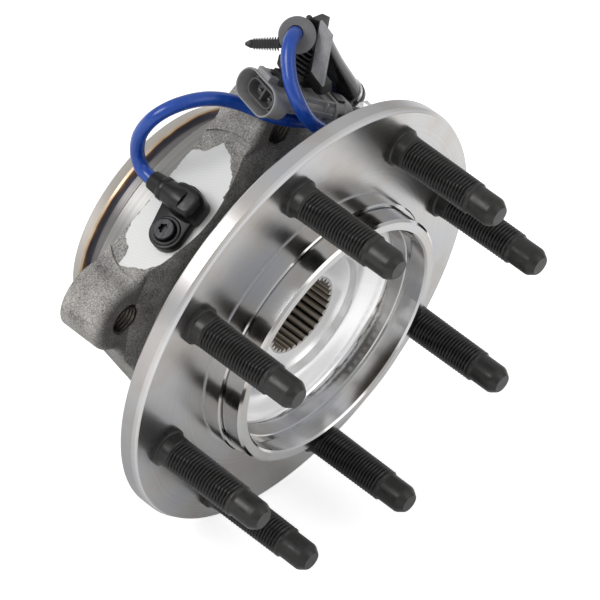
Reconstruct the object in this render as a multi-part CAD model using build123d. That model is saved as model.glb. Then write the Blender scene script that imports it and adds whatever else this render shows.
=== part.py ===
"""Wheel hub bearing for an eight-stud driven front axle, with its wheel speed sensor and lead.

Row frame, millimetres: the spin axis is Y, outboard (wheel side) is -Y, +Z is up.
The origin is on the spin axis in the plane of the knuckle mounting face.
Every outline that is turned round the spin axis is drawn as (radius, y) points.
"""
from build123d import *
import os
from math import cos, sin, tan, radians, degrees, atan2, pi, sqrt

# ---- driving dimensions ------------------------------------------------------------------
WHEEL_FACE_Y = -59.0        # wheel mounting face, from the knuckle face
FLANGE_R = 99.0             # hub flange outer radius
FLANGE_T = 9.0              # flange thickness at the rim
STUD_COUNT = 8
STUD_PCD = 165.1            # wheel bolt circle
STUD_PHASE = 25.72          # angle of the first stud at rest
STUD_R = 7.0                # M14 stud
STUD_COLLAR_R = 8.6         # knurled shank pressed in the flange, and the collar it ends in
STUD_OUT = 54.3             # stud length in front of the wheel face
ROTOR_PILOT_R = 60.2        # seat of the brake disc
ROTOR_PILOT_L = 8.6
WHEEL_PILOT_R = 58.35       # seat of the wheel's centre bore
WHEEL_PILOT_L = 9.4
PILOT_BORE_R = 52.9         # turned bore inside the pilot
BORE_DEPTH = 9.5
BOSS_R = 30.8               # raised seat for the axle nut
SPLINE_TEETH = 33
SPLINE_TIP_R = 16.6
SPLINE_ROOT_R = 18.4
SPINDLE_R = 31.0            # journal that carries the inner rings
SEAL_JOURNAL_R = 38.2

KNUCKLE_PCD = 139.7         # four mounting bolts
KNUCKLE_HOLE_R = 6.25       # tapping size of the M14 threads
EAR_T = 21.0                # thickness of the mounting ears
EAR_LOBE_R = 16.0
EAR_FLAT = 60.8             # axis to the cast flats between the ears
EAR_EDGE_ROUND = 3.5
KNUCKLE_PILOT_R = 59.5      # register that enters the knuckle
KNUCKLE_PILOT_L = 8.5
REAR_RING_R = 52.0
HOUSING_REAR_Y = 23.5
HOUSING_FRONT_Y = -43.5
BARREL_R = 58.5

ROLLER_R = 5.0              # mean radius of a tapered roller
ROLLER_L = 15.0
ROLLER_COUNT = 20
PITCH_R = 40.5              # roller centres
CONTACT_ANGLE = 15.0
ROW_OFFSET = 14.0           # each row from the bearing's middle
MIDDLE_Y = -15.0            # middle of the bearing, in line with the sensor
RUN_GAP = 0.05              # running clearance of the rollers on their races
END_GAP = 0.15              # further clearance at each end of a roller
PRESS_GAP = 0.02            # modelled gap between parts that are pressed together
POCKET_GAP = 0.25           # roller in its cage pocket

PAD_ANGLE = 135.0           # direction of the sensor's milled pad
PAD_D = 59.5                # spin axis to the pad
PAD_HALF = 36.0
SENSOR_HOLE_R = 7.5
SENSOR_TIP_R = 7.2
SENSOR_GAP = 1.2            # sensor tip to the tone ring
TONE_R = 42.4
TONE_TEETH = 48
TONE_W = 7.0
SCREW_X, SCREW_Y = 13.0, 2.3    # sensor screw, beside the probe
SCREW_R = 3.0
CABLE_R = 3.0

# ---- helpers -----------------------------------------------------------------------------


def turned(*points):
    """Solid of revolution about the spin axis from a closed (radius, y) outline."""
    return revolve(make_face(Polyline(*points, close=True)), Axis.Y)


def face_plane(y):
    """Plane square to the spin axis; its normal points outboard, its x is +X, its y is +Z."""
    return Plane(origin=(0, y, 0), x_dir=(1, 0, 0), z_dir=(0, -1, 0))


def around(angle, radius, y=0.0):
    """Point at an angle from +X towards +Z, a radius from the spin axis."""
    return Vector(radius * cos(radians(angle)), y, radius * sin(radians(angle)))


def spun(shape, angle):
    """Copy of a shape turned about the spin axis, from +X towards +Z."""
    return Rot(0, -angle, 0) * shape


def rod(start, end, radius, end_radius=None):
    """Straight round bar or cone between two points."""
    start, end = Vector(*start), Vector(*end)
    plane = Plane(origin=start, z_dir=end - start)
    length = (end - start).length
    if end_radius is None:
        return extrude(plane * Circle(radius), length)
    return loft([plane * Circle(radius), plane.offset(length) * Circle(end_radius)])


def stadium(plane, length, width, depth):
    """Prism with a stadium outline: length over the round ends, along the plane's x."""
    return extrude(plane * SlotOverall(length, width), depth)


# ---- hub, studs and spline ---------------------------------------------------------------
FLANGE_BACK_Y = WHEEL_FACE_Y + FLANGE_T
PILOT_STEP_Y = WHEEL_FACE_Y - ROTOR_PILOT_L
PILOT_END_Y = PILOT_STEP_Y - WHEEL_PILOT_L
SPINDLE_END_Y = 17.0


def wheel_hub():
    """Forged flange with turned pilots, a dished nut recess and a splined spindle."""
    shoulder_y = row_face(-1)
    bore_end_y = PILOT_END_Y + BORE_DEPTH
    front = [
        (SPLINE_TIP_R, WHEEL_FACE_Y + 2.7), (BOSS_R - 1.4, WHEEL_FACE_Y + 2.7),
        (BOSS_R - 0.4, WHEEL_FACE_Y), (BOSS_R + 0.6, WHEEL_FACE_Y),
        (BOSS_R + 3.0, WHEEL_FACE_Y + 2.2),
    ]
    dish = Spline(front[-1], (BOSS_R + 8.5, WHEEL_FACE_Y + 4.6), (47.5, WHEEL_FACE_Y + 0.4),
                  (PILOT_BORE_R - 1.7, bore_end_y + 0.3), tangents=[(1, 0.6), (0.05, -1)])
    rim = [
        (PILOT_BORE_R - 1.7, bore_end_y + 0.3), (PILOT_BORE_R - 1.2, bore_end_y),
        (PILOT_BORE_R, bore_end_y), (PILOT_BORE_R, PILOT_END_Y + 0.8),
        (PILOT_BORE_R + 0.8, PILOT_END_Y), (WHEEL_PILOT_R - 1.05, PILOT_END_Y),
        (WHEEL_PILOT_R, PILOT_END_Y + 1.0), (WHEEL_PILOT_R, PILOT_STEP_Y - 0.5),
        (WHEEL_PILOT_R - 0.5, PILOT_STEP_Y - 0.5), (WHEEL_PILOT_R - 0.5, PILOT_STEP_Y),
        (ROTOR_PILOT_R - 0.6, PILOT_STEP_Y), (ROTOR_PILOT_R, PILOT_STEP_Y + 0.6),
        (ROTOR_PILOT_R, WHEEL_FACE_Y),
        (FLANGE_R - 1.2, WHEEL_FACE_Y), (FLANGE_R, WHEEL_FACE_Y + 2.6),
        (FLANGE_R, FLANGE_BACK_Y - 0.8), (FLANGE_R - 0.8, FLANGE_BACK_Y),
        (70.0, FLANGE_BACK_Y),
    ]
    web = ThreePointArc((70.0, FLANGE_BACK_Y), (64.5, FLANGE_BACK_Y + 1.3),
                        (60.5, FLANGE_BACK_Y + 4.5))
    back = [
        (60.5, FLANGE_BACK_Y + 4.5), (SEAL_JOURNAL_R + 2.0, FLANGE_BACK_Y + 4.5),
        (SEAL_JOURNAL_R, FLANGE_BACK_Y + 6.0), (SEAL_JOURNAL_R, shoulder_y),
        (SPINDLE_R, shoulder_y), (SPINDLE_R, row_face(1)),
        (SPINDLE_R + 4.2, row_face(1) + PRESS_GAP), (SPINDLE_R + 4.6, row_face(1) + 2.2),
        (SPINDLE_R + 2.0, SPINDLE_END_Y - 0.6), (SPINDLE_R - 2.0, SPINDLE_END_Y),
        (SPLINE_ROOT_R + 2.4, SPINDLE_END_Y), (SPLINE_TIP_R, SPINDLE_END_Y - 4.0),
    ]
    outline = Curve() + [Polyline(*front), dish, Polyline(*rim), web, Polyline(*back),
                         Line(back[-1], front[0])]
    hub = revolve(make_face(outline), Axis.Y)
    length = SPINDLE_END_Y - WHEEL_FACE_Y
    hub -= extrude(face_plane(SPINDLE_END_Y) * make_face(spline_outline()), length)
    hole = rod((STUD_PCD / 2, FLANGE_BACK_Y + 1, 0), (STUD_PCD / 2, WHEEL_FACE_Y - 1, 0),
               STUD_COLLAR_R + PRESS_GAP)
    return hub - [spun(hole, STUD_PHASE + 360 / STUD_COUNT * i) for i in range(STUD_COUNT)]


def spline_outline():
    """Star of V-shaped grooves with narrow lands between them."""
    points = []
    step = 360 / SPLINE_TEETH
    for i in range(SPLINE_TEETH):
        for r, share in ((SPLINE_TIP_R, -0.34), (SPLINE_ROOT_R, 0.0), (SPLINE_TIP_R, 0.34)):
            a = radians(step * (i + share))
            points.append((r * cos(a), r * sin(a)))
    return Polyline(*points, close=True)


def wheel_stud():
    """Pressed stud: round head, plain collar, thread length and a dog point."""
    head_y = FLANGE_BACK_Y
    tip_y = WHEEL_FACE_Y - STUD_OUT
    outline = [
        (0, head_y + 4.6), (9.4, head_y + 4.6), (10.6, head_y + 3.6), (10.6, head_y),
        (STUD_COLLAR_R, head_y), (STUD_COLLAR_R, WHEEL_FACE_Y - 3.4),
        (STUD_R + 0.9, WHEEL_FACE_Y - 8.0), (STUD_R, WHEEL_FACE_Y - 11.5),
        (STUD_R, tip_y + 14.0), (STUD_R - 1.1, tip_y + 12.6), (STUD_R - 1.1, tip_y + 4.4),
        (STUD_R - 1.8, tip_y + 2.0), (STUD_R - 3.8, tip_y), (0, tip_y),
    ]
    return Pos(STUD_PCD / 2, 0, 0) * turned(*outline)


def wheel_studs():
    return [spun(wheel_stud(), STUD_PHASE + 360 / STUD_COUNT * i) for i in range(STUD_COUNT)]


# ---- bearing -----------------------------------------------------------------------------
ROLLER_TAPER = degrees(atan2(ROLLER_R, PITCH_R / sin(radians(CONTACT_ANGLE))))
AXIS_R, AXIS_Y = sin(radians(CONTACT_ANGLE)), cos(radians(CONTACT_ANGLE))


def row_point(side, along, out):
    """(radius, y) of a point of one roller row: along the roller axis towards its large end,
    and out square to that axis. side is -1 for the outboard row and 1 for the inboard row."""
    return (PITCH_R + along * AXIS_R + out * AXIS_Y,
            MIDDLE_Y + side * (ROW_OFFSET + along * AXIS_Y - out * AXIS_R))


def roller_radius(along):
    return ROLLER_R + along * tan(radians(ROLLER_TAPER))


def row_face(side):
    """y of an inner ring's large face."""
    return MIDDLE_Y + side * 25.0


def inner_ring(side):
    """Cone of a tapered roller bearing, with a tall rib at its large face."""
    half = ROLLER_L / 2
    race_big = row_point(side, half + RUN_GAP, -roller_radius(half) - RUN_GAP)
    race_small = row_point(side, -half - 0.3, -roller_radius(-half) - RUN_GAP)
    rib_top = row_point(side, half + RUN_GAP, -roller_radius(half) + 2.4)
    lip = row_point(side, -half - 0.3, -roller_radius(-half) + 0.9)
    bore = SPINDLE_R + PRESS_GAP
    small_y = MIDDLE_Y + side * (TONE_W / 2 + PRESS_GAP)
    return turned((bore, row_face(side) - side * PRESS_GAP),
                  (rib_top[0], row_face(side) - side * PRESS_GAP), rib_top, race_big,
                  race_small, lip, (lip[0], lip[1] - side * 1.2), (SPINDLE_R + 3.0, small_y),
                  (bore, small_y))


def roller(side):
    """Tapered roller."""
    half = ROLLER_L / 2 - END_GAP
    centre = row_point(side, 0, 0)
    tilt = Plane(origin=(centre[0], centre[1], 0), x_dir=(0, 0, 1),
                 z_dir=(AXIS_R, side * AXIS_Y, 0))
    outline = [(0, -half), (roller_radius(-half), -half), (roller_radius(half), half), (0, half)]
    bar = revolve(make_face(Polyline(*outline, close=True)), Axis.Y)
    return tilt.location * Rot(90, 0, 0) * bar


def rollers(side):
    one = roller(side)
    return [spun(one, 360 / ROLLER_COUNT * i) for i in range(ROLLER_COUNT)]


def cage(side):
    """Conical cage: two rings joined by bars, one pocket for each roller."""
    half = ROLLER_L / 2
    ring = turned(row_point(side, -half - 2.2, -1.0), row_point(side, half + 1.6, -1.0),
                  row_point(side, half + 1.6, 1.4), row_point(side, -half - 2.2, 1.4))
    centre = row_point(side, 0, 0)
    tilt = Plane(origin=(centre[0], centre[1], 0), x_dir=(0, 0, 1),
                 z_dir=(AXIS_R, side * AXIS_Y, 0))
    end = half + POCKET_GAP
    outline = [(0, -end), (roller_radius(-end) + POCKET_GAP, -end),
               (roller_radius(end) + POCKET_GAP, end), (0, end)]
    pocket = tilt.location * Rot(90, 0, 0) * revolve(
        make_face(Polyline(*outline, close=True)), Axis.Y)
    return ring - [spun(pocket, 360 / ROLLER_COUNT * i) for i in range(ROLLER_COUNT)]


def tone_ring():
    """Toothed ring that the sensor reads, pressed on the spindle between the inner rings."""
    half = TONE_W / 2
    bore = SPINDLE_R + PRESS_GAP
    blank = turned((bore, MIDDLE_Y - half), (bore + 2.6, MIDDLE_Y - half),
                   (bore + 2.6, MIDDLE_Y - half + 1.2), (TONE_R - 3.5, MIDDLE_Y - half + 1.2),
                   (TONE_R - 3.5, MIDDLE_Y - half), (TONE_R, MIDDLE_Y - half),
                   (TONE_R, MIDDLE_Y + half), (TONE_R - 3.5, MIDDLE_Y + half),
                   (TONE_R - 3.5, MIDDLE_Y + half - 1.2), (bore + 2.6, MIDDLE_Y + half - 1.2),
                   (bore + 2.6, MIDDLE_Y + half), (bore, MIDDLE_Y + half))
    gap_w = pi * TONE_R / TONE_TEETH
    slot = Pos(TONE_R, MIDDLE_Y, 0) * Box(4.4, TONE_W + 1, gap_w)
    return blank - [spun(slot, 360 / TONE_TEETH * i) for i in range(TONE_TEETH)]


# ---- seals -------------------------------------------------------------------------------
SEAL_BORE_R = 48.2
SEAL_GAP = 0.3


def outboard_seal():
    """Cassette seal pressed in the housing, its lips close to the hub's journal."""
    y = HOUSING_FRONT_Y
    r_out = SEAL_BORE_R - PRESS_GAP
    r_in = SEAL_JOURNAL_R + SEAL_GAP
    return turned((r_in + 1.6, y + 0.4), (r_out, y + 0.4), (r_out, y + 5.6),
                  (r_out - 1.2, y + 5.6), (r_out - 1.2, y + 1.8), (r_in + 3.0, y + 1.8),
                  (r_in, y + 3.4), (r_in, y + 2.4))


def outboard_slinger():
    """Dished steel slinger pressed on the hub in front of the seal."""
    y = FLANGE_BACK_Y + 4.5 + PRESS_GAP
    return turned((SEAL_JOURNAL_R + 2.6, y), (BARREL_R - 1.5, y), (BARREL_R - 1.5, y + 0.8),
                  (SEAL_JOURNAL_R + 2.6, y + 0.8))


def inboard_seal():
    """Seal ring in the rear bore, with a thick outer case and a lip towards the slinger."""
    y = row_face(1) + 0.8
    r_out = SEAL_BORE_R - PRESS_GAP
    return turned((r_out, y), (r_out, y + 6.4), (r_out - 1.2, y + 6.4), (r_out - 1.2, y + 1.4),
                  (43.2, y + 1.4), (41.9, y + 2.6), (41.2, y + 2.2), (42.6, y))


def inboard_slinger():
    """Stamped ring on the large face rib of the inboard inner ring."""
    r_in = row_point(1, ROLLER_L / 2 + RUN_GAP, -roller_radius(ROLLER_L / 2) + 2.4)[0]
    y = row_face(1)
    return turned((SPINDLE_R + 4.6 + SEAL_GAP, y), (r_in + 1.0, y), (r_in + 1.0, y + 4.2),
                  (r_in + 0.2, y + 4.2), (r_in + 0.2, y + 0.8),
                  (SPINDLE_R + 4.6 + SEAL_GAP, y + 0.8))


# ---- housing -----------------------------------------------------------------------------
PAD_PLANE = Plane(origin=around(PAD_ANGLE, PAD_D, MIDDLE_Y), z_dir=around(PAD_ANGLE, 1),
                  x_dir=around(PAD_ANGLE + 90, 1))


def ear_outline():
    """Four round lobes on a square of cast flats, blended at the notches."""
    square = Rot(0, 0, 45) * Rectangle(2 * EAR_FLAT, 2 * EAR_FLAT)
    outline = square & Circle(notch_radius() + 4.0)
    for i in range(4):
        a = radians(90 * i)
        lobe = Pos(KNUCKLE_PCD / 2 * cos(a), KNUCKLE_PCD / 2 * sin(a)) * Circle(EAR_LOBE_R)
        outline += lobe
    notches = [v for v in outline.vertices()
               if abs(Vector(v.X, v.Y).length - notch_radius()) < 2.5]
    return fillet(notches, 9.0)


def notch_radius():
    """Distance from the axis to where a lobe meets a flat."""
    lobe = KNUCKLE_PCD / 2 * cos(radians(45))
    run = lobe - sqrt(EAR_LOBE_R ** 2 - (EAR_FLAT - lobe) ** 2)
    return sqrt(EAR_FLAT ** 2 + run ** 2)


def bearing_housing():
    """Outer ring: cast ears and barrel, turned register, raceways and the milled pad."""
    half = ROLLER_L / 2
    clear = RUN_GAP
    races = []
    for side in (-1, 1):
        big = row_point(side, half + 0.6, roller_radius(half + 0.6) + clear)
        small = row_point(side, -half - 0.6, roller_radius(-half - 0.6) + clear)
        races.append((big, small))
    (big_o, small_o), (big_i, small_i) = races
    body = turned(
        (SEAL_BORE_R, HOUSING_FRONT_Y), (BARREL_R - 2.0, HOUSING_FRONT_Y),
        (BARREL_R + 1.0, HOUSING_FRONT_Y + 3.0), (BARREL_R + 1.0, HOUSING_FRONT_Y + 8.0),
        (BARREL_R - 1.5, HOUSING_FRONT_Y + 12.0), (BARREL_R - 1.0, -EAR_T - 8.5),
        (BARREL_R + 2.5, -EAR_T - 4.5), (BARREL_R + 8.0, -EAR_T + 0.5), (BARREL_R + 8.0, -4.0),
        (KNUCKLE_PILOT_R, -4.0),
        (KNUCKLE_PILOT_R, KNUCKLE_PILOT_L - 1.0), (KNUCKLE_PILOT_R - 1.2, KNUCKLE_PILOT_L),
        (REAR_RING_R - 0.4, KNUCKLE_PILOT_L + 2.4), (REAR_RING_R - 0.4, HOUSING_REAR_Y - 8.4),
        (REAR_RING_R + 2.0, HOUSING_REAR_Y - 6.6), (REAR_RING_R + 2.0, HOUSING_REAR_Y - 5.4),
        (REAR_RING_R, HOUSING_REAR_Y - 0.7), (REAR_RING_R - 0.7, HOUSING_REAR_Y),
        (SEAL_BORE_R + 0.8, HOUSING_REAR_Y), (SEAL_BORE_R, HOUSING_REAR_Y - 0.8),
        (SEAL_BORE_R, big_i[1] + 0.6), big_i, small_i, small_o, big_o,
        (SEAL_BORE_R, big_o[1] - 0.6))
    outline = ear_outline()
    trim = extrude(face_plane(0) * outline, -HOUSING_FRONT_Y)
    ring_only = turned((0, HOUSING_FRONT_Y - 1), (BARREL_R + 1.0, HOUSING_FRONT_Y - 1),
                       (BARREL_R + 1.0, HOUSING_REAR_Y + 1), (0, HOUSING_REAR_Y + 1))
    body = body & (trim + ring_only)
    ears = extrude(face_plane(0) * outline, EAR_T)
    ears -= turned((0, 1), (BARREL_R - 2, 1), (BARREL_R - 2, -EAR_T - 1), (0, -EAR_T - 1))
    front_edges = [e for e in ears.edges() if abs(e.center().Y + EAR_T) < 0.01
                   and Vector(e.center().X, 0, e.center().Z).length > BARREL_R]
    ears = fillet(front_edges, EAR_EDGE_ROUND)
    body += ears
    hole = rod((KNUCKLE_PCD / 2, 1, 0), (KNUCKLE_PCD / 2, -EAR_T - 1, 0), KNUCKLE_HOLE_R)
    mouth = turned((0, 0), (7.4, 0), (KNUCKLE_HOLE_R, 1.3), (0, 1.3))
    edge = turned((0, 0), (KNUCKLE_HOLE_R + 0.3, 0), (KNUCKLE_HOLE_R, -0.3), (0, -0.3))
    mouths = [Pos(KNUCKLE_PCD / 2, -EAR_T, 0) * mouth, Pos(KNUCKLE_PCD / 2, 0, 0) * edge]
    for i in range(4):
        body -= [spun(hole, 90 * i)] + [spun(m, 90 * i) for m in mouths]
    cutter = PAD_PLANE * SlotOverall(2 * PAD_HALF, 44.0)
    body -= extrude(cutter, 14.0)
    body -= extrude(PAD_PLANE.offset(1) * Circle(SENSOR_HOLE_R), -PAD_D / 2)
    body -= extrude(PAD_PLANE.offset(1) * Pos(SCREW_X, SCREW_Y) * Circle(SCREW_R), -14.0)
    return body


# ---- wheel speed sensor ------------------------------------------------------------------
SENSOR_EAR_T = 5.0
SENSOR_EAR_R = 7.3
SENSOR_W, SENSOR_LEN = 12.6, 16.2
SENSOR_BODY_Y = 3.4         # body centre, outboard of the probe
SENSOR_BODY_H = 13.0
GROOVE_DEPTH = 1.3
BOOT_H = 9.3                # height of the cable exit above the pad
BOOT_START = 9.4            # end of the sensor's collar, inboard of the probe
BOOT_END = 14.6
BOOT_BORE = 2.5             # how far the cable enters the boot
SENSOR_SEAT = PAD_PLANE.offset(PRESS_GAP)
BUSH_R = SCREW_R + 1.3
SCREW_HEAD_R, SCREW_HEAD_H = 4.6, 3.4


def pad_height(shape):
    """Height of a shape's centre above the pad."""
    return (shape.center() - PAD_PLANE.origin).dot(PAD_PLANE.z_dir)


def abs_sensor():
    """Moulded sensor: probe with an O-ring groove, mounting ear, rounded body and collar."""
    probe_l = PAD_D - TONE_R - SENSOR_GAP
    lobes = (Pos(SCREW_X, SCREW_Y) * Circle(SENSOR_EAR_R)).edges() + Circle(8.4).edges()
    ear_plate = extrude(SENSOR_SEAT * make_hull(lobes), SENSOR_EAR_T)
    ear_plate = chamfer(ear_plate.faces().sort_by(pad_height)[-1].edges(), 0.5)
    body = extrude(SENSOR_SEAT * Pos(0.2, SENSOR_BODY_Y)
                   * RectangleRounded(SENSOR_W, SENSOR_LEN, 3.2), SENSOR_BODY_H)
    body = fillet(body.faces().sort_by(pad_height)[-1].edges(), 1.8)
    inner_y = SENSOR_BODY_Y - SENSOR_LEN / 2
    collar = rod((SENSOR_SEAT * Pos(0, inner_y + 3.0, BOOT_H)).position,
                 (SENSOR_SEAT * Pos(0, -BOOT_START, BOOT_H)).position, 5.6, 4.7)
    under = extrude(SENSOR_SEAT * Pos(0, (inner_y - BOOT_START + 3.0) / 2)
                    * RectangleRounded(7.6, BOOT_START + inner_y + 3.0, 0.8), BOOT_H)
    probe = extrude(SENSOR_SEAT * Circle(SENSOR_TIP_R), -probe_l)
    groove = extrude(SENSOR_SEAT.offset(-3.0) * (Circle(SENSOR_TIP_R + 1)
                     - Circle(SENSOR_TIP_R - GROOVE_DEPTH)), -2.4)
    bush = extrude(SENSOR_SEAT * Pos(SCREW_X, SCREW_Y) * Circle(BUSH_R),
                   SENSOR_BODY_H)
    clear = extrude(SENSOR_SEAT.offset(SENSOR_EAR_T) * Pos(SCREW_X, SCREW_Y)
                    * Circle(SCREW_HEAD_R + 0.5), SENSOR_BODY_H)
    return (ear_plate + body + collar + under + probe) - groove - bush - clear


def sensor_o_ring():
    """Ring in the probe's groove, just clear of the housing's hole."""
    section_r = (SENSOR_HOLE_R - SENSOR_TIP_R + GROOVE_DEPTH) / 2 - PRESS_GAP
    centre_r = SENSOR_HOLE_R - section_r - PRESS_GAP
    return SENSOR_SEAT.offset(-4.2).location * Torus(centre_r, section_r)


def compression_bush():
    """Steel bush that keeps the screw from crushing the sensor's ear."""
    ring = Circle(BUSH_R - PRESS_GAP) - Circle(SCREW_R + 0.2)
    return extrude(SENSOR_SEAT * Pos(SCREW_X, SCREW_Y) * ring, SENSOR_EAR_T)


def sensor_screw():
    """Low-head screw with a six-lobe socket, seated on the bush."""
    seat = SENSOR_SEAT.offset(SENSOR_EAR_T + PRESS_GAP)
    place = Pos(SCREW_X, SCREW_Y)
    head = extrude(seat * place * Circle(SCREW_HEAD_R), SCREW_HEAD_H)
    head = fillet(head.faces().sort_by(pad_height)[-1].edges(), 0.7)
    shank = extrude(seat * place * Circle(SCREW_R - 0.05), -SENSOR_EAR_T - 11.0)
    lobes = Circle(1.75) + [Pos(1.55 * cos(radians(60 * i)), 1.55 * sin(radians(60 * i)))
                            * Circle(0.62) for i in range(6)]
    return head + shank - extrude(seat.offset(SCREW_HEAD_H) * place * lobes, -2.4)


def cable_boot():
    """Rubber strain relief over the cable where it leaves the sensor."""
    start = (SENSOR_SEAT * Pos(0, -BOOT_START - PRESS_GAP, BOOT_H)).position
    end = (SENSOR_SEAT * Pos(0, -BOOT_END, BOOT_H)).position
    inside = (SENSOR_SEAT * Pos(0, -BOOT_END + BOOT_BORE, BOOT_H)).position
    outside = (SENSOR_SEAT * Pos(0, -BOOT_END - 1.0, BOOT_H)).position
    return rod(start, end, 4.5, 4.0) - rod(inside, outside, CABLE_R + PRESS_GAP)


# ---- sensor lead -------------------------------------------------------------------------
# Routes are lists of corner points; each corner is rounded as far as its two runs allow.
LEAD_ROUTE = [
    (-48.66, -2.9, 48.66), (-48.66, 4.2, 48.66), (-49.6, 9.2, 53.8), (-51.8, 9.9, 62.2),
    (-54.0, 7.6, 70.6), (-52.8, 4.2, 78.8), (-46.2, 0.2, 84.6), (-36.0, -4.4, 87.2), (-25.6, -9.0, 85.9),
    (-18.6, -14.7, 83.8), (-13.2, -21.8, 82.2), (-6.0, -26.0, 80.4), (3.6, -27.6, 77.6),
    (11.4, -27.3, 75.2), (19.2, -27.3, 73.5), (23.1, -31.3, 72.5), (23.2, -37.1, 73.2),
    (19.4, -41.3, 75.1), (9.0, -41.3, 78.6), (-3.9, -41.1, 84.6), (-15.6, -40.9, 92.7),
    (-22.4, -38.4, 101.7), (-23.4, -33.5, 107.3), (-21.8, -29.2, 111.6), (-19.6, -25.3, 116.0),
    (-16.0, -22.2, 119.6), (-10.6, -20.0, 120.4), (-6.6, -17.62, 117.28),
]
TAIL_ROUTE = [
    (31.87, -24.553, 80.513), (35.615, -25.522, 75.285), (38.6, -28.0, 71.2),
    (41.2, -32.6, 69.0), (41.2, -37.9, 70.4), (38.0, -41.2, 74.2), (32.4, -40.4, 77.4),
    (26.06, -36.96, 79.32), (17.95, -34.55, 82.11),
]


def route_path(points):
    """Straight runs joined by tangent arcs; returns the wire and the arcs' radii."""
    points = [Vector(*p) for p in points]
    radii = []
    for a, b, c in zip(points, points[1:], points[2:]):
        turn = (b - a).get_angle(c - b)
        radii.append(0.45 * min((b - a).length, (c - b).length) / tan(radians(turn / 2)))
    return FilletPolyline(*points, radius=radii), radii


def cable(points, name):
    """Round cable swept along its route, with its length and tightest arc printed."""
    path, radii = route_path(points)
    tube = sweep(Plane(origin=path @ 0, z_dir=path % 0) * Circle(CABLE_R), path=path)
    ideal = pi * CABLE_R ** 2 * path.length
    print(f"{name}: length {path.length:.1f}, radii {[round(r, 1) for r in radii]}, "
          f"volume ratio {tube.volume / ideal:.4f}")
    return tube


def sensor_lead():
    return cable(LEAD_ROUTE, "sensor_lead")


def connector_tail():
    return cable(TAIL_ROUTE, "connector_tail")


# ---- harness connector -------------------------------------------------------------------
SHELL_L = 51.0
SHROUD_L = 14.0
SHROUD_W, SHROUD_H = 25.5, 13.8
SHELL_WALL = 1.3
SHROUD_DEPTH = 12.5
NECK_W, NECK_H = 12.6, 8.6
NECK_BORE_W, NECK_BORE_H = 10.0, 6.0
SEAL_L = 8.0
BAND_AT, BAND_L = 36.0, 7.0
BAND_T = 1.3
BLADE_X = 3.2
SHELL_MOUTH = Vector(-27.6, -21.0, 97.8)
SHELL = Plane(origin=SHELL_MOUTH, z_dir=(0.911, -0.271, -0.314), x_dir=(-0.285, -0.959, 0.0))
NECK_END = SHELL_L - 2.0


def above(plane, height, width, depth, x, z):
    """Block standing on an oval section of the connector, z along its axis from the mouth."""
    bottom = height[0]
    shape = Pos(x, -(bottom + height[1]) / 2) * Rectangle(width, height[1] - bottom)
    return extrude(plane.offset(z) * shape, depth)


def connector_shell():
    """Two-way oval shell: open shroud with a latch block, slim ribbed neck behind it."""
    shroud = stadium(SHELL, SHROUD_W, SHROUD_H, SHROUD_L)
    lip = stadium(SHELL, SHROUD_W + 1.0, SHROUD_H + 1.0, 2.0)
    shoulder = loft([SHELL.offset(SHROUD_L) * SlotOverall(SHROUD_W - 2.0, SHROUD_H - 1.6),
                     SHELL.offset(SHROUD_L + 5.0) * SlotOverall(NECK_W + 2.0, NECK_H + 1.0)])
    neck = stadium(SHELL.offset(SHROUD_L + 4), NECK_W, NECK_H, NECK_END - SHROUD_L - 4)
    ribs = [stadium(SHELL.offset(z), NECK_W + 1.6, NECK_H + 1.6, 1.4) for z in (21.5, 34.2)]
    block = above(SHELL, (SHROUD_H / 2 - 1.5, SHROUD_H / 2 + 2.4), 8.0, 5.0, -2.0, 0.6)
    inside = stadium(SHELL, SHROUD_W - 2 * SHELL_WALL, SHROUD_H - 2 * SHELL_WALL, SHROUD_DEPTH)
    bore = stadium(SHELL.offset(SHROUD_DEPTH - 1), NECK_BORE_W, NECK_BORE_H, SHELL_L)
    return shroud + lip + shoulder + neck + ribs + block - inside - bore


def connector_core():
    """Inner shroud with a dividing rib; carries the blades and backs into the neck."""
    back = SHELL.offset(SHROUD_DEPTH - PRESS_GAP)
    base = stadium(back, NECK_BORE_W - 2 * PRESS_GAP, NECK_BORE_H - 2 * PRESS_GAP, 8.0)
    front = 2.4
    depth = SHROUD_DEPTH - PRESS_GAP - front
    wall = stadium(SHELL.offset(front), SHROUD_W - 8.0, SHROUD_H - 6.0, depth) \
        - stadium(SHELL.offset(front), SHROUD_W - 10.4, SHROUD_H - 8.4, depth - 1.4)
    rib = extrude(SHELL.offset(front + 2.0) * Rectangle(1.2, SHROUD_H - 7.0), depth - 2.5)
    core = base + wall + rib
    for x in (-BLADE_X, BLADE_X):
        core -= extrude(back.offset(-3) * Pos(x, 0) * Rectangle(2.9, 0.9), 12.0)
    return core


def connector_blades():
    """Two flat blades in the core."""
    start = SHELL.offset(5.0)
    return [extrude(start * Pos(x, 0) * Rectangle(2.9 - 2 * PRESS_GAP, 0.9 - 2 * PRESS_GAP), 14.0)
            for x in (-BLADE_X, BLADE_X)]


def connector_lock():
    """Locking slide on top of the shroud, with a raised finger step."""
    base = SHROUD_H / 2 + PRESS_GAP
    slide = above(SHELL, (base, base + 2.2), 9.0, 7.6, -0.6, 6.2)
    step = above(SHELL, (base + 1.0, base + 3.8), 6.0, 2.6, -0.6, 6.2)
    tail = above(SHELL, (base + 1.0, base + 3.2), 7.0, 2.0, -0.6, 11.4)
    return slide + step + tail


def wire_seal():
    """Ribbed plug in the back of the neck, round the cable."""
    start = SHELL.offset(NECK_END - SEAL_L)
    plug = stadium(start, NECK_BORE_W - 2 * PRESS_GAP, NECK_BORE_H - 2 * PRESS_GAP,
                   SEAL_L + PRESS_GAP)
    flange = stadium(SHELL.offset(NECK_END + PRESS_GAP), NECK_W - 1.0, NECK_H - 0.8, 2.4)
    hole = extrude(SHELL.offset(SHELL_L - 1.0) * Circle(CABLE_R + PRESS_GAP), 4.0)
    return plug + flange - hole


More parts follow.
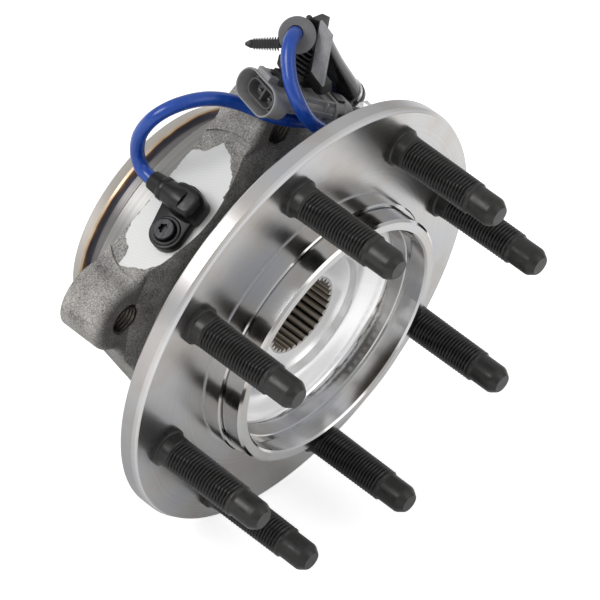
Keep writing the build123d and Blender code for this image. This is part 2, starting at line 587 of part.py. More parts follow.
def retainer_band():
    """Band clipped round the back of the neck, with two latch windows."""
    start = SHELL.offset(BAND_AT)
    band = stadium(start, NECK_W + 2 * BAND_T, NECK_H + 2 * BAND_T, BAND_L)
    band -= stadium(start.offset(-1), NECK_W + 2 * PRESS_GAP, NECK_H + 2 * PRESS_GAP, 10.0)
    window = extrude(start.offset(2.0) * Pos(NECK_W / 2 + BAND_T, 0) * Rectangle(4.0, 3.4), 3.0)
    return band - window


# ---- harness clip ------------------------------------------------------------------------
# CLIP faces the way the grommet's disc faces: x to its right, y up its face.
CLIP = Plane(origin=(-8.8, -20.0, 118.7), x_dir=(0.6336, -0.7297, 0.2571),
             z_dir=(-0.7144, -0.4244, 0.5563))
DISC_R, DISC_T = 7.6, 1.8
DISC_HOLE = Pos(-0.7, 0.8)
DISC_HOLE_R = 3.15
COLLAR_R = 4.1
COLUMN_X0, COLUMN_X1 = -1.7, 5.3
FIN_COUNT, FIN_PITCH, FIN_T = 6, 2.3, 1.1
FIN_OUT = 1.9
FIN_TOP = 111.4
FIN_Y0, FIN_Y1 = -25.6, -18.4
PLATE_X = -1.2
PLATE_T = 1.4
PLATE_CORNERS = [(-23.5, 125.3), (-30.5, 122.4), (-33.6, 99.9), (-26.6, 102.8)]
SLEEVE_TOP = Vector(11.2, -19.2, 109.4)
SLEEVE_END = Vector(33.6, -25.0, 78.1)
SLEEVE = Plane(origin=SLEEVE_TOP, z_dir=SLEEVE_END - SLEEVE_TOP)
SLEEVE_L = (SLEEVE_END - SLEEVE_TOP).length
SLEEVE_END_R = 6.8
RING_OUT = 1.1
TAB_AT, TAB_T = -46.0, 1.2
TREE_AT = (-6.0, -3.4)      # root of the push-in fastener on the disc's rim
TREE_L = 14.6
TREE_BARBS, BARB_PITCH = 7, 1.5


def upright(points, x, depth):
    """Prism with a (y, z) outline, from x towards +X."""
    return extrude(Plane(origin=(x, 0, 0), x_dir=(0, 1, 0), z_dir=(1, 0, 0))
                   * make_face(Polyline(*points, close=True)), depth)


def clip_body():
    """Moulded bracket that clamps on the neck and carries the grommet, plate and sleeve."""
    top, _, tip, corner = PLATE_CORNERS
    outline = [(-12.8, 94.7), (-10.2, 96.5), (-9.9, 100.6), (-12.0, 103.5), (-12.0, 117.0),
               (-17.0, 121.2), (-19.6, 124.6), (top[0] + PRESS_GAP, top[1]),
               (corner[0] + PRESS_GAP, corner[1] - PRESS_GAP), (tip[0], tip[1] - PRESS_GAP),
               (-34.6, 96.4), (-31.0, 92.0), (-24.5, 91.0)]
    body = upright(outline, COLUMN_X0, COLUMN_X1 - COLUMN_X0)
    for i in range(FIN_COUNT):
        z = FIN_TOP - i * FIN_PITCH
        fin = [(FIN_Y0, z), (FIN_Y1, z), (FIN_Y1, z - FIN_T), (FIN_Y0, z - FIN_T)]
        body += upright(fin, COLUMN_X0 - FIN_OUT, FIN_OUT + 0.5)
    body += rod((0.2, -17.4, 119.0), (0.2, -17.4, 123.4), 1.3)
    elbow = SLEEVE_TOP - SLEEVE.z_dir * 2.0
    body += Pos(*elbow) * Sphere(4.7)
    body += rod((COLUMN_X1 - 1, elbow.Y, elbow.Z), (elbow.X, elbow.Y, elbow.Z), 4.4)
    body -= extrude(SLEEVE.offset(-PRESS_GAP) * Circle(9.0), 12.0)
    saddle = stadium(SHELL.offset(24.0), NECK_W + 3.0, NECK_H + 3.0, 9.6)
    body += saddle
    body -= stadium(SHELL.offset(10.0), NECK_W + 2 * PRESS_GAP, NECK_H + 2 * PRESS_GAP, 30.0)
    body -= extrude(SHELL.offset(20.0) * Pos(0, NECK_H / 2 + 3) * Rectangle(7.0, 8.0), 20.0)
    return body


def clamp_plate():
    """Flat cover plate on the bracket's outboard edge."""
    return upright(PLATE_CORNERS, PLATE_X, PLATE_T)


def lead_grommet():
    """Rubber disc with a collar; the lead enters it from the front."""
    disc = extrude(CLIP * Circle(DISC_R), -DISC_T)
    disc = fillet(disc.edges(), 0.5)
    collar = extrude(CLIP.offset(-1.0) * DISC_HOLE * Circle(COLLAR_R), -16.0)
    block = Pos(COLUMN_X0 - PRESS_GAP + 15, CLIP.origin.Y, CLIP.origin.Z) * Box(30, 60, 60)
    hole = extrude(CLIP.offset(1.0) * DISC_HOLE * Circle(DISC_HOLE_R), -1.0 - 3.4)
    return disc + collar - block - hole


def fir_tree_clip():
    """Push-in fastener: flat stalk with ranks of barbs and a blunt tip, on the disc's rim."""
    root = CLIP * Pos(TREE_AT[0], TREE_AT[1], -DISC_T / 2)
    plane = Plane(origin=root.position, z_dir=-CLIP.x_dir, x_dir=CLIP.z_dir)
    taper = 2.4
    stalk = extrude(plane * Rectangle(1.6, 3.2), TREE_L - taper)
    tip = loft([plane.offset(TREE_L - taper) * Rectangle(1.6, 3.2),
                plane.offset(TREE_L) * Rectangle(1.0, 1.4)])
    barbs = []
    for i in range(TREE_BARBS):
        z = 2.2 + i * BARB_PITCH
        barbs.append(loft([plane.offset(z) * Rectangle(3.2, 5.2),
                           plane.offset(z + 0.9) * Rectangle(1.8, 3.3)]))
    rim = extrude(CLIP.offset(5.0) * Circle(DISC_R + PRESS_GAP), -12.0)
    return stalk + tip + barbs - rim


def cable_sleeve():
    """Rubber sleeve that widens towards its clamp."""
    profile = [(0, 0), (4.2, 0), (4.4, 8.0), (5.0, 18.0), (6.0, 27.0),
               (SLEEVE_END_R, SLEEVE_L - 4.6), (SLEEVE_END_R, SLEEVE_L), (0, SLEEVE_L)]
    wall = Curve() + [Polyline(profile[0], profile[1]), Spline(*profile[1:6]),
                      Polyline(*profile[5:], profile[0])]
    sleeve = revolve(Plane.XZ * make_face(wall), Axis.Z)
    sleeve -= Pos(0, 0, SLEEVE_L - 1.5) * Cylinder(CABLE_R + 0.15, 3.0)
    return SLEEVE.location * sleeve


def ring_on_sleeve(start, width, radius):
    """Ring round the sleeve's wide end, at a distance before the end."""
    ring = Circle(radius) - Circle(SLEEVE_END_R + PRESS_GAP)
    return extrude(SLEEVE.offset(SLEEVE_L - start) * ring, width)


def sleeve_ring():
    """Moulded end ring of the sleeve's clamp."""
    return ring_on_sleeve(1.6, 1.6, SLEEVE_END_R + RING_OUT)


def sleeve_band():
    """Bright steel band crimped beside the end ring."""
    return ring_on_sleeve(4.2, 2.5, SLEEVE_END_R + 0.6)


def bracket_tab():
    """Sheet-metal tab with a three-sided window, seated on the sleeve's end ring."""
    outline = [(22.6, -25.6), (28.2, -23.7), (30.7, -26.3), (29.0, -28.0), (23.2, -28.4)]
    corners = make_face(Polyline(*outline, close=True))
    plate = extrude(CLIP.offset(TAB_AT) * fillet(corners.vertices(), 0.8), TAB_T)
    window = extrude(CLIP.offset(TAB_AT - 1) * Pos(27.6, -26.0) * RegularPolygon(1.5, 3), 4.0)
    ring = extrude(SLEEVE * Circle(SLEEVE_END_R + RING_OUT + PRESS_GAP), SLEEVE_L + 8)
    return plate - window - ring


# ---- pieces ------------------------------------------------------------------------------
PIECES = {
    "wheel_hub": wheel_hub,
    "wheel_studs": wheel_studs,
    "tone_ring": tone_ring,
    "outboard_slinger": outboard_slinger,
    "outboard_seal": outboard_seal,
    "inboard_slinger": inboard_slinger,
    "inboard_seal": inboard_seal,
    "bearing_housing": bearing_housing,
    "abs_sensor": abs_sensor,
    "sensor_o_ring": sensor_o_ring,
    "compression_bush": compression_bush,
    "sensor_screw": sensor_screw,
    "cable_boot": cable_boot,
    "sensor_lead": sensor_lead,
    "connector_tail": connector_tail,
    "connector_shell": connector_shell,
    "connector_core": connector_core,
    "connector_blades": connector_blades,
    "connector_lock": connector_lock,
    "wire_seal": wire_seal,
    "retainer_band": retainer_band,
    "clip_body": clip_body,
    "clamp_plate": clamp_plate,
    "lead_grommet": lead_grommet,
    "fir_tree_clip": fir_tree_clip,
    "cable_sleeve": cable_sleeve,
    "sleeve_ring": sleeve_ring,
    "sleeve_band": sleeve_band,
    "bracket_tab": bracket_tab,
}
PIECES_PER_ROW = {"inner_ring": inner_ring, "rollers": rollers, "cage": cage}


def export(name, shape):
    """One STEP file for each node; a list becomes separate solids in one file."""
    if isinstance(shape, list):
        shape = Compound(children=shape)
    export_step(shape, os.path.join("parts", name + ".step"))


os.makedirs("parts", exist_ok=True)
for piece, make in PIECES.items():
    export(piece, make())
for row, side in (("outboard", -1), ("inboard", 1)):
    for piece, make in PIECES_PER_ROW.items():
        export(f"{row}_{piece}", make(side))
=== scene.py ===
"""Wheel hub bearing for a driven front axle: finishes, threads and cords around its CAD frame.

Its frame, in metres: the spin axis is Y, outboard (wheel side) is -Y, +Z is up, and the
origin is on the spin axis in the plane of the knuckle mounting face. The object's sizes are
written in millimetres, and MM carries them over; the stage's are in metres.
"""
import bmesh
import bpy
import numpy as np
from mathutils import Matrix, Vector


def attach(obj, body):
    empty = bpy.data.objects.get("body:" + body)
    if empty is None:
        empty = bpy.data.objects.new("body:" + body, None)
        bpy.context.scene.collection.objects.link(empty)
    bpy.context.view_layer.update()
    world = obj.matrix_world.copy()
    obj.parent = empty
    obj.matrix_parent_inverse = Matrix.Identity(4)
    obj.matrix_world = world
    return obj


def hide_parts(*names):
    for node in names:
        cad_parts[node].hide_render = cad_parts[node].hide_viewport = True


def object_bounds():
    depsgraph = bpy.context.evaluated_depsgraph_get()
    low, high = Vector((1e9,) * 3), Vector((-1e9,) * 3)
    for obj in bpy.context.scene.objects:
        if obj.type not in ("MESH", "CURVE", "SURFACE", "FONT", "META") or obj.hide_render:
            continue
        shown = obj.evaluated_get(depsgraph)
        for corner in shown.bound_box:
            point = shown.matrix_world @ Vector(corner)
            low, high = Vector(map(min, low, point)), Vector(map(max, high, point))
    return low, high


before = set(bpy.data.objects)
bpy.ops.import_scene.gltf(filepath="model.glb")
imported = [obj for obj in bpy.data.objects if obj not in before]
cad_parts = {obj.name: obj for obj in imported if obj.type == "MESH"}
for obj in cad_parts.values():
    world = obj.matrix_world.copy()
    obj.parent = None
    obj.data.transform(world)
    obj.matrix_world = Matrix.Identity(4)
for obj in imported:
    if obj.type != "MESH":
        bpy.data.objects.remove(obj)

cad_box = [list(corner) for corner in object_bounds()]
MM = 0.001
scene = bpy.context.scene
scene.view_settings.view_transform = "Standard"

# ---- camera ------------------------------------------------------------------------------
# A long lens above and to the wheel side, looking down at the hub flange with the sensor lead
# uppermost in the frame.
camera = bpy.data.objects.new("camera", bpy.data.cameras.new("camera"))
scene.collection.objects.link(camera)
camera.data.lens = 277.55
camera.data.sensor_width = 36.0
camera.data.clip_end = 20.0
CAMERA_RIGHT = (0.6336, -0.7297, 0.2571)
CAMERA_UP = (0.2968, 0.5362, 0.7902)
CAMERA_BACK = (-0.7144, -0.4244, 0.5563)
CAMERA_PLACE = (-1.3432967, -0.8515847, 1.0518828)
turn = Matrix((CAMERA_RIGHT, CAMERA_UP, CAMERA_BACK)).transposed()
camera.matrix_world = Matrix.Translation(CAMERA_PLACE) @ turn.to_4x4()
scene.camera = camera

# ---- sensor lead and connector tail ------------------------------------------------------
# Two runs of round jacketed cable, 6 mm across: the blue lead from the sensor's boot up to the
# moulded harness bracket, and the black tail from the bracket's sleeve to the connector.
CABLE_D = 6.0 * MM
LEAD_POINTS = [
    (-48.66, -2.9, 48.66), (-48.66, 4.2, 48.66), (-49.6, 9.2, 53.8), (-51.8, 9.9, 62.2),
    (-54.0, 7.6, 70.6), (-52.8, 4.2, 78.8), (-46.2, 0.2, 84.6), (-36.0, -4.4, 87.2),
    (-25.6, -9.0, 85.9), (-18.6, -14.7, 83.8), (-13.2, -21.8, 82.2), (-6.0, -26.0, 80.4),
    (3.6, -27.6, 77.6), (11.4, -27.3, 75.2), (19.2, -27.3, 73.5), (23.1, -31.3, 72.5),
    (23.2, -37.1, 73.2), (19.4, -41.3, 75.1), (9.0, -41.3, 78.6), (-3.9, -41.1, 84.6),
    (-15.6, -40.9, 92.7), (-22.4, -38.4, 101.7), (-23.4, -33.5, 107.3), (-21.8, -29.2, 111.6),
    (-19.6, -25.3, 116.0), (-16.0, -22.2, 119.6), (-10.6, -20.0, 120.4), (-6.6, -17.62, 117.28),
]
TAIL_POINTS = [
    (31.87, -24.553, 80.513), (35.615, -25.522, 75.285), (38.6, -28.0, 71.2),
    (41.2, -32.6, 69.0), (41.2, -37.9, 70.4), (38.0, -41.2, 74.2), (32.4, -40.4, 77.4),
    (26.06, -36.96, 79.32), (17.95, -34.55, 82.11),
]


def cable(name, points):
    """Round tube along one open NURBS spline of order 3 that has the points, given in
    millimetres, as its control points and starts and ends on the first and the last. The
    curve's bevel is 1 m deep, so each point's radius is the cable's own."""
    curve = bpy.data.curves.new(name, "CURVE")
    curve.dimensions = "3D"
    curve.bevel_depth = 1.0
    curve.bevel_resolution = 6
    curve.use_fill_caps = True
    spline = curve.splines.new("NURBS")
    spline.points.add(len(points) - 1)
    for control, point in zip(spline.points, points):
        control.co = (*(MM * value for value in point), 1.0)
        control.radius = CABLE_D / 2
    spline.order_u = 3
    spline.use_endpoint_u = True
    spline.resolution_u = 8
    piece = bpy.data.objects.new(name, curve)
    scene.collection.objects.link(piece)
    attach(piece, "housing")
    return piece


lead = cable("blue_lead", LEAD_POINTS)
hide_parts("sensor_lead")
tail = cable("black_tail", TAIL_POINTS)
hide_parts("connector_tail")


# ---- cable jackets -----------------------------------------------------------------------
# Extruded polyurethane and PVC jackets: smooth and glossy, with a faint random grain in their
# colour and surface, and duller patches.
def colour(code):
    """Linear RGBA of an sRGB hex code: each channel through the sRGB transfer curve."""
    channels = [int(code[i:i + 2], 16) / 255 for i in (1, 3, 5)]
    linear = [c / 12.92 if c <= 0.04045 else ((c + 0.055) / 1.055) ** 2.4 for c in channels]
    return (*linear, 1.0)


def add(tree, kind, links=(), stops=(), **fields):
    """Adds one shader node. fields are the node's own settings, stops a colour ramp's places
    and hex codes, and links fills sockets, by name or number, with a value or an output."""
    made = tree.nodes.new("ShaderNode" + kind)
    for field, value in fields.items():
        setattr(made, field, value)
    for i, (place, code) in enumerate(stops):
        ramp = made.color_ramp.elements
        stop = ramp[i] if i < 2 else ramp.new(place)
        stop.position, stop.color = place, colour(code)
    for socket, source in dict(links).items():
        if isinstance(source, bpy.types.NodeSocket):
            tree.links.new(source, made.inputs[socket])
        else:
            made.inputs[socket].default_value = source
    return made


def finish(name, base, metallic, roughness, **sockets):
    """New material: one Principled shader with these plain values. Returns the material, its
    tree, the shader and the Object coordinates."""
    made = bpy.data.materials.new(name)
    made.use_nodes = True
    tree = made.node_tree
    shader = tree.nodes["Principled BSDF"]
    shader.inputs["Base Color"].default_value = colour(base)
    shader.inputs["Metallic"].default_value = metallic
    shader.inputs["Roughness"].default_value = roughness
    for socket, value in sockets.items():
        shader.inputs[socket.replace("_", " ")].default_value = value
    place = add(tree, "TexCoord").outputs["Object"]
    return made, tree, shader, place


def combined(tree, operation, *values):
    """Output of one Math node over these values."""
    return add(tree, "Math", dict(enumerate(values)), operation=operation).outputs[0]


def mapped(tree, value, start, end, low=0.0, high=1.0):
    """Value carried from start..end to low..high in a straight line, and held at both ends."""
    return add(tree, "MapRange", {"Value": value, "From Min": start, "From Max": end,
                                  "To Min": low, "To Max": high}).outputs["Result"]


def noise(tree, place, size, detail, **fields):
    """Noise from 0 to 1 at Object coordinates, with lumps of size millimetres."""
    return add(tree, "TexNoise", {"Vector": place, "Scale": 1 / (size * MM), "Detail": detail,
                                  **fields}).outputs["Fac"]


def raised(tree, shader, height, depth):
    """Bump on the shader's normal: a height of 1 stands depth metres above a height of 0."""
    bump = add(tree, "Bump", {"Height": height, "Strength": 1.0, "Distance": depth})
    tree.links.new(bump.outputs["Normal"], shader.inputs["Normal"])


NOISE_LOW, NOISE_HIGH = 0.3, 0.7
BROAD_TO_FINE = 9


def grained(name, dark, light, grain, rough, bump, metallic=0.0, **sockets):
    """Finish with a random grain, in millimetres: noise of that size, varied by a broader one,
    mixes two colours; the broader one runs the roughness between two values, and the finer one
    raises the surface by up to bump millimetres."""
    made, tree, shader, place = finish(name, dark, metallic, rough[0], **sockets)
    fine = noise(tree, place, grain, 6.0)
    broad = noise(tree, place, BROAD_TO_FINE * grain, 3.0)
    both = combined(tree, "MULTIPLY_ADD", fine, broad, 0.12)
    ramp = add(tree, "ValToRGB", {"Fac": both}, stops=((0.2, dark), (0.55, light)))
    tree.links.new(ramp.outputs["Color"], shader.inputs["Base Color"])
    gloss = mapped(tree, broad, NOISE_LOW, NOISE_HIGH, *rough)
    tree.links.new(gloss, shader.inputs["Roughness"])
    raised(tree, shader, fine, bump * MM)
    return made


def dress(material, *names):
    """Gives CAD nodes a material on the objects' own slots, so their meshes stay as packed."""
    for name in names:
        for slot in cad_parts[name].material_slots:
            slot.link = "OBJECT"
            slot.material = material


blue_jacket = grained("blue polyurethane jacket, extruded", "#083a93", "#0f49a8", 2.0,
                      (0.24, 0.34), 0.004, Coat_Weight=0.2, Coat_Roughness=0.08,
                      Specular_IOR_Level=0.4)
lead.data.materials.append(blue_jacket)
black_jacket = grained("black PVC jacket, extruded", "#131314", "#1e1e20", 2.0, (0.30, 0.42),
                       0.004)
tail.data.materials.append(black_jacket)

# ---- wheel studs -------------------------------------------------------------------------
# Eight M14 x 1.5 studs of quenched steel with a rolled thread, phosphated black and oiled,
# pressed into the flange from behind; each has a plain collar and a bullet point.
STUD_COUNT = 8
STUD_PCD = 165.1
STUD_PHASE = 25.72
THREAD_PITCH = 1.5
THREAD_DEPTH = 0.8
CREST_SHARE, FLANK_SHARE = 0.12, 0.74
THREAD_Y = (-65.0, -99.6)
STUD_PROFILE = [
    (0.0, -45.4), (9.4, -45.4), (10.35, -45.7), (10.6, -46.4), (10.6, -50.0), (8.6, -50.0),
    (8.6, -61.1), (8.35, -61.4), (7.6, -61.7), (7.4, -62.6), (7.25, -65.0), (7.0, -99.6),
    (6.4, -100.3), (6.3, -101.2), (6.3, -109.6), (6.0, -110.6), (4.5, -112.9), (4.1, -113.3),
    (0.0, -113.3),
]
SHANK_START = (8.6, -50.0)
ROWS_PER_PITCH = 8
AROUND_STUD = 44


def grid_faces(rows, columns):
    """Quads of a rows x columns grid of points whose columns run on round a closed turn."""
    row, column = np.meshgrid(np.arange(rows - 1), np.arange(columns), indexing="ij")
    beside = (column + 1) % columns
    return np.stack([row * columns + column, row * columns + beside,
                     (row + 1) * columns + beside, (row + 1) * columns + column],
                    axis=-1).reshape(-1, 4)


def copied_faces(rows, columns, copies):
    """The quads of several equal grids, one after another."""
    one = grid_faces(rows, columns)
    return np.concatenate([one + i * rows * columns for i in range(copies)])


def smooth(mesh):
    """Smooth shading, with an edge kept sharp where its faces turn by over 35 degrees."""
    mesh.shade_smooth()
    mesh.set_sharp_from_angle(angle=np.radians(35))


def mesh_piece(name, points, faces, material, body):
    """Object at the origin with this mesh, which rides on a body."""
    mesh = bpy.data.meshes.new(name)
    mesh.from_pydata(points.reshape(-1, 3), [], faces.tolist())
    mesh.validate()
    mesh.materials.append(material)
    smooth(mesh)
    piece = bpy.data.objects.new(name, mesh)
    scene.collection.objects.link(piece)
    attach(piece, body)
    return piece


def threaded(y, angle):
    """Depth cut by the thread, 0 to 1: a V of one pitch with a flat crest and root, which
    climbs one pitch a turn and fades over one and a half pitches at its two ends."""
    phase = (y / THREAD_PITCH - angle / (2 * np.pi)) % 1.0
    flank = np.clip((np.abs(phase - 0.5) * 2 - CREST_SHARE) / FLANK_SHARE, 0.0, 1.0)
    fade = 1.5 * THREAD_PITCH
    ends = np.clip((THREAD_Y[0] - y) / fade, 0, 1) * np.clip((y - THREAD_Y[1]) / fade, 0, 1)
    return flank * ends


def off_axis(distance, radius, y, angle, turn):
    """Points at a radius and angle about an axis that runs along the spin axis, a distance from
    it and at turn degrees round it: (distance + radius cos angle, radius sin angle), turned."""
    x, z = distance + radius * np.cos(angle), radius * np.sin(angle)
    c, s = np.cos(np.radians(turn)), np.sin(np.radians(turn))
    return MM * np.stack([x * c - z * s, y, x * s + z * c], axis=-1)


def stud_points(turn):
    """One stud at turn degrees round the spin axis: the profile's radius, less the thread's
    cut, round the stud's own axis. Also gives each point's cut."""
    corner_r, corner_y = np.array(STUD_PROFILE).T
    count = int((THREAD_Y[0] - THREAD_Y[1]) / THREAD_PITCH * ROWS_PER_PITCH)
    y = np.linspace(*THREAD_Y, count)
    shank = slice(STUD_PROFILE.index(SHANK_START), None)
    r = np.interp(-y, -corner_y[shank], corner_r[shank])
    before, after = corner_y > THREAD_Y[0], corner_y < THREAD_Y[1]
    y = np.concatenate([corner_y[before], y, corner_y[after]])
    r = np.concatenate([corner_r[before], r, corner_r[after]])
    angle = np.arange(AROUND_STUD) * 2 * np.pi / AROUND_STUD
    y, angle = np.meshgrid(y, angle, indexing="ij")
    cut = threaded(y, angle)
    r = np.maximum(r[:, None] - THREAD_DEPTH * cut, 0.0)
    return off_axis(STUD_PCD / 2, r, y, angle, turn), cut


def mixed(tree, share, first, second, mode="MIX"):
    """Colour output of one Mix node: first, with second over it by this share."""
    colour_a, colour_b, result = 6, 7, 2
    return add(tree, "Mix", {0: share, colour_a: first, colour_b: second}, data_type="RGBA",
               blend_type=mode).outputs[result]


def black_phosphate():
    """Oiled manganese phosphate: near black, soft crystalline grain, with painted shade that
    darkens the thread down its flanks into its roots, so that its crests stand out a lighter
    grey."""
    made = grained("black manganese phosphate, oiled", "#1d1c1c", "#3b3937", 0.4, (0.3, 0.46),
                   0.02, metallic=0.3)
    tree = made.node_tree
    shader = tree.nodes["Principled BSDF"]
    depth = add(tree, "Attribute", attribute_name="thread_cut")
    # Painted shade in the thread: by cut depth, a multiplier from white on the crests to near
    # black in the roots.
    thread_root_shade = add(tree, "ValToRGB", {"Fac": depth.outputs["Fac"]},
                 stops=((0.0, "#d0d0d0"), (1.0, "#161616"), (0.12, "#ffffff"),
                        (0.5, "#6a6a6a")))
    base = shader.inputs["Base Color"].links[0].from_socket
    shade = mixed(tree, 1.0, base, thread_root_shade.outputs["Color"], "MULTIPLY")
    tree.links.new(shade, shader.inputs["Base Color"])
    return made


stud_grids, stud_cuts = zip(*[stud_points(STUD_PHASE + 360 / STUD_COUNT * i)
                              for i in range(STUD_COUNT)])
studs = mesh_piece("threaded_studs", np.concatenate(stud_grids),
                   copied_faces(len(stud_grids[0]), AROUND_STUD, STUD_COUNT), black_phosphate(),
                   "hub")
cut_depth = studs.data.attributes.new("thread_cut", "FLOAT", "POINT")
cut_depth.data.foreach_set("value", np.concatenate(stud_cuts).ravel())
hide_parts("wheel_studs")


# ---- hub ---------------------------------------------------------------------------------
# Forged steel hub, turned all over in a lathe: bright, with fine concentric tool marks on its
# faces and pilots; the broached spline is duller, with painted shade towards its tooth roots.
def length_across(tree, place, keep):
    """Distance from an axis through the origin: keep is 0 along that axis and 1 across it."""
    flat = add(tree, "VectorMath", {0: place, 1: keep}, operation="MULTIPLY")
    return add(tree, "VectorMath", {0: flat.outputs[0]}, operation="LENGTH").outputs["Value"]


def lathe_marks(tree, place, spacing):
    """Random rings round the spin axis, spacing millimetres apart on faces and on diameters:
    one-dimensional noise over radius plus nine tenths of y."""
    radius = length_across(tree, place, (1.0, 0.0, 1.0))
    y = add(tree, "SeparateXYZ", {0: place}).outputs["Y"]
    along = combined(tree, "MULTIPLY_ADD", y, 0.9, radius)
    rings = add(tree, "TexNoise", {"W": along, "Scale": 1 / (spacing * MM), "Detail": 4.0,
                                   "Roughness": 0.7}, noise_dimensions="1D")
    return rings.outputs["Fac"], radius, y


def turned_steel(name, dark, light, rough, spacing, depth):
    """Lathe-turned steel: rings of the given spacing mix the colours, change the roughness and
    cut grooves depth millimetres deep."""
    made, tree, shader, place = finish(name, light, 1.0, rough[0])
    rings = lathe_marks(tree, place, spacing)[0]
    ramp = add(tree, "ValToRGB", {"Fac": rings}, stops=((NOISE_LOW, dark), (NOISE_HIGH, light)))
    tree.links.new(ramp.outputs["Color"], shader.inputs["Base Color"])
    gloss = mapped(tree, rings, NOISE_LOW, NOISE_HIGH, *rough)
    tree.links.new(gloss, shader.inputs["Roughness"])
    raised(tree, shader, rings, depth * MM)
    return made


def between(tree, value, low, high, soft=0.05):
    """1 where value, in metres, is between low and high millimetres, with soft edges."""
    rise = mapped(tree, value, (low - soft) * MM, (low + soft) * MM)
    fall = mapped(tree, value, (high - soft) * MM, (high + soft) * MM, 1.0, 0.0)
    return combined(tree, "MULTIPLY", rise, fall)


def zone(tree, radius, y, radii, heights, soft=0.05):
    """1 inside a ring round the spin axis, between two radii and two values of y."""
    return combined(tree, "MULTIPLY", between(tree, radius, *radii, soft),
                    between(tree, y, *heights, soft))


def mixed_value(tree, share, first, second):
    """Number output of one Mix node: first, with second over it by this share."""
    number_a, number_b, result = 2, 3, 0
    return add(tree, "Mix", {0: share, number_a: first, number_b: second},
               data_type="FLOAT").outputs[result]


RING_SPACING = 1.1
PILOT_R, PILOT_Y = (50.0, 60.7), (-78.0, -59.1)
SPLINE_R, SPLINE_Y = (0.0, 18.6), (-56.1, 20.0)
TOOTH_TIP_R, TOOTH_ROOT_R = 16.6, 18.0
DISH_R = (18.7, 50.0)
PILOT_ROOT_R, PILOT_ROOT_Y = (60.1, 61.0), (-59.7, -58.9)
RIM_BEVEL_R, RIM_BEVEL_Y = (97.9, 98.9), (-59.1, -57.8)
RIM_R = (98.95, 110.0)


def hub_steel():
    """Satin-turned faces, pilots turned finer so that they mirror more, two thin edge rings
    painted pale as highlights, a broached spline with painted shade from its tooth tips to its
    roots, a bowl inside the pilot painted lighter, as painted light, and an outer rim painted
    darker, as painted shade. Tool marks are 0.2 mm apart on the real face, and are drawn wider
    apart to show."""
    made = turned_steel("forged steel, fine turned", "#c4c4c5", "#cecece", (0.28, 0.31),
                        RING_SPACING, 0.0004)
    tree = made.node_tree
    shader = tree.nodes["Principled BSDF"]
    place = add(tree, "TexCoord").outputs["Object"]
    radius, y = lathe_marks(tree, place, RING_SPACING)[1:]
    pilot = zone(tree, radius, y, PILOT_R, PILOT_Y)
    satin = shader.inputs["Roughness"].links[0].from_socket
    tree.links.new(mixed_value(tree, pilot, satin, 0.13), shader.inputs["Roughness"])
    broached = zone(tree, radius, y, SPLINE_R, SPLINE_Y)
    # Painted shade in the spline: its colour darkens from the tooth tips to the roots.
    groove = mapped(tree, radius, TOOTH_TIP_R * MM, TOOTH_ROOT_R * MM)
    spline_root_shade = add(tree, "ValToRGB", {"Fac": groove},
              stops=((0.0, "#d8d1c6"), (1.0, "#24211d"), (0.25, "#b3aca1")))
    base = shader.inputs["Base Color"].links[0].from_socket
    shade = mixed(tree, broached, base, spline_root_shade.outputs["Color"])
    # Painted highlights: two thin rings, at the pilot's root and at the rim's bevel, get a pale
    # colour and less metal.
    root = zone(tree, radius, y, PILOT_ROOT_R, PILOT_ROOT_Y, 0.03)
    bevel = zone(tree, radius, y, RIM_BEVEL_R, RIM_BEVEL_Y, 0.03)
    painted_edge_highlights = combined(tree, "MAXIMUM", root, bevel)
    # Painted shade: the flange's outer rim gets a darker grey.
    rim_painted_shade = mixed(tree, between(tree, radius, *RIM_R, 0.02), shade, colour("#b4b4b6"))
    stains = add(tree, "ValToRGB", {"Fac": noise(tree, place, 30, 4.0)},
                 stops=((0.34, "#ebe5df"), (0.66, "#f0f1f5"), (0.5, "#f4f3f1")))
    handled = mixed(tree, 1.0, rim_painted_shade, stains.outputs["Color"], "MULTIPLY")
    # Painted light: the bowl inside the pilot gets a near-white colour.
    dish_painted_light = mixed(tree, between(tree, radius, *DISH_R), handled, colour("#ececec"))
    lit = mixed(tree, painted_edge_highlights, dish_painted_light, colour("#d2d2d4"))
    tree.links.new(lit, shader.inputs["Base Color"])
    dull = combined(tree, "MAXIMUM", painted_edge_highlights, broached)
    tree.links.new(mapped(tree, dull, 0.0, 1.0, 1.0, 0.3), shader.inputs["Metallic"])
    return made


dress(hub_steel(), "wheel_hub")

# ---- bearing, tone ring and seals --------------------------------------------------------
# Through-hardened bearing steel rings and rollers, a tone ring of pressed zinc-plated steel, a
# glass-filled nylon cage, and nitrile seals on zinc-plated steel cases.
ring_steel = turned_steel("bearing steel, ground", "#a8a8aa", "#c6c6c8", (0.16, 0.26), 0.4,
                          0.0003)
dress(ring_steel, "outboard_inner_ring", "inboard_inner_ring", "outboard_rollers",
      "inboard_rollers")
stamped = turned_steel("zinc-plated steel, pressed", "#8e8f92", "#b3b4b6", (0.3, 0.42), 1.6,
                       0.001)
dress(stamped, "outboard_slinger", "inboard_slinger", "tone_ring")
nylon_cage = grained("glass-filled nylon, moulded", "#2c2a26", "#3b3833", 0.8, (0.45, 0.6),
                     0.02)
dress(nylon_cage, "outboard_cage", "inboard_cage")
nitrile = grained("black nitrile rubber, moulded", "#101011", "#1a1a1b", 0.6, (0.5, 0.65),
                  0.012)
dress(nitrile, "outboard_seal", "inboard_seal", "sensor_o_ring")


# ---- bearing housing ---------------------------------------------------------------------
# Sand-cast ductile iron, shot-blasted and grey; its register, rear ring and knuckle face are
# turned bright, and induction hardening leaves straw, brown and blue tints by the rear ring.
REGISTER_R = 59.5
REGISTER_FRONT_Y = -4.0
RING_FRONT_Y = 10.5
HOUSING_REAR_Y = 23.5
FLANGE_SHADE_Y = (-31.0, -17.0)
BEARING_R = 40.0
BEHIND_ALL_Y = 90.0
CAST_GRAIN, TURNED_GRAIN = 0.3, 0.0012


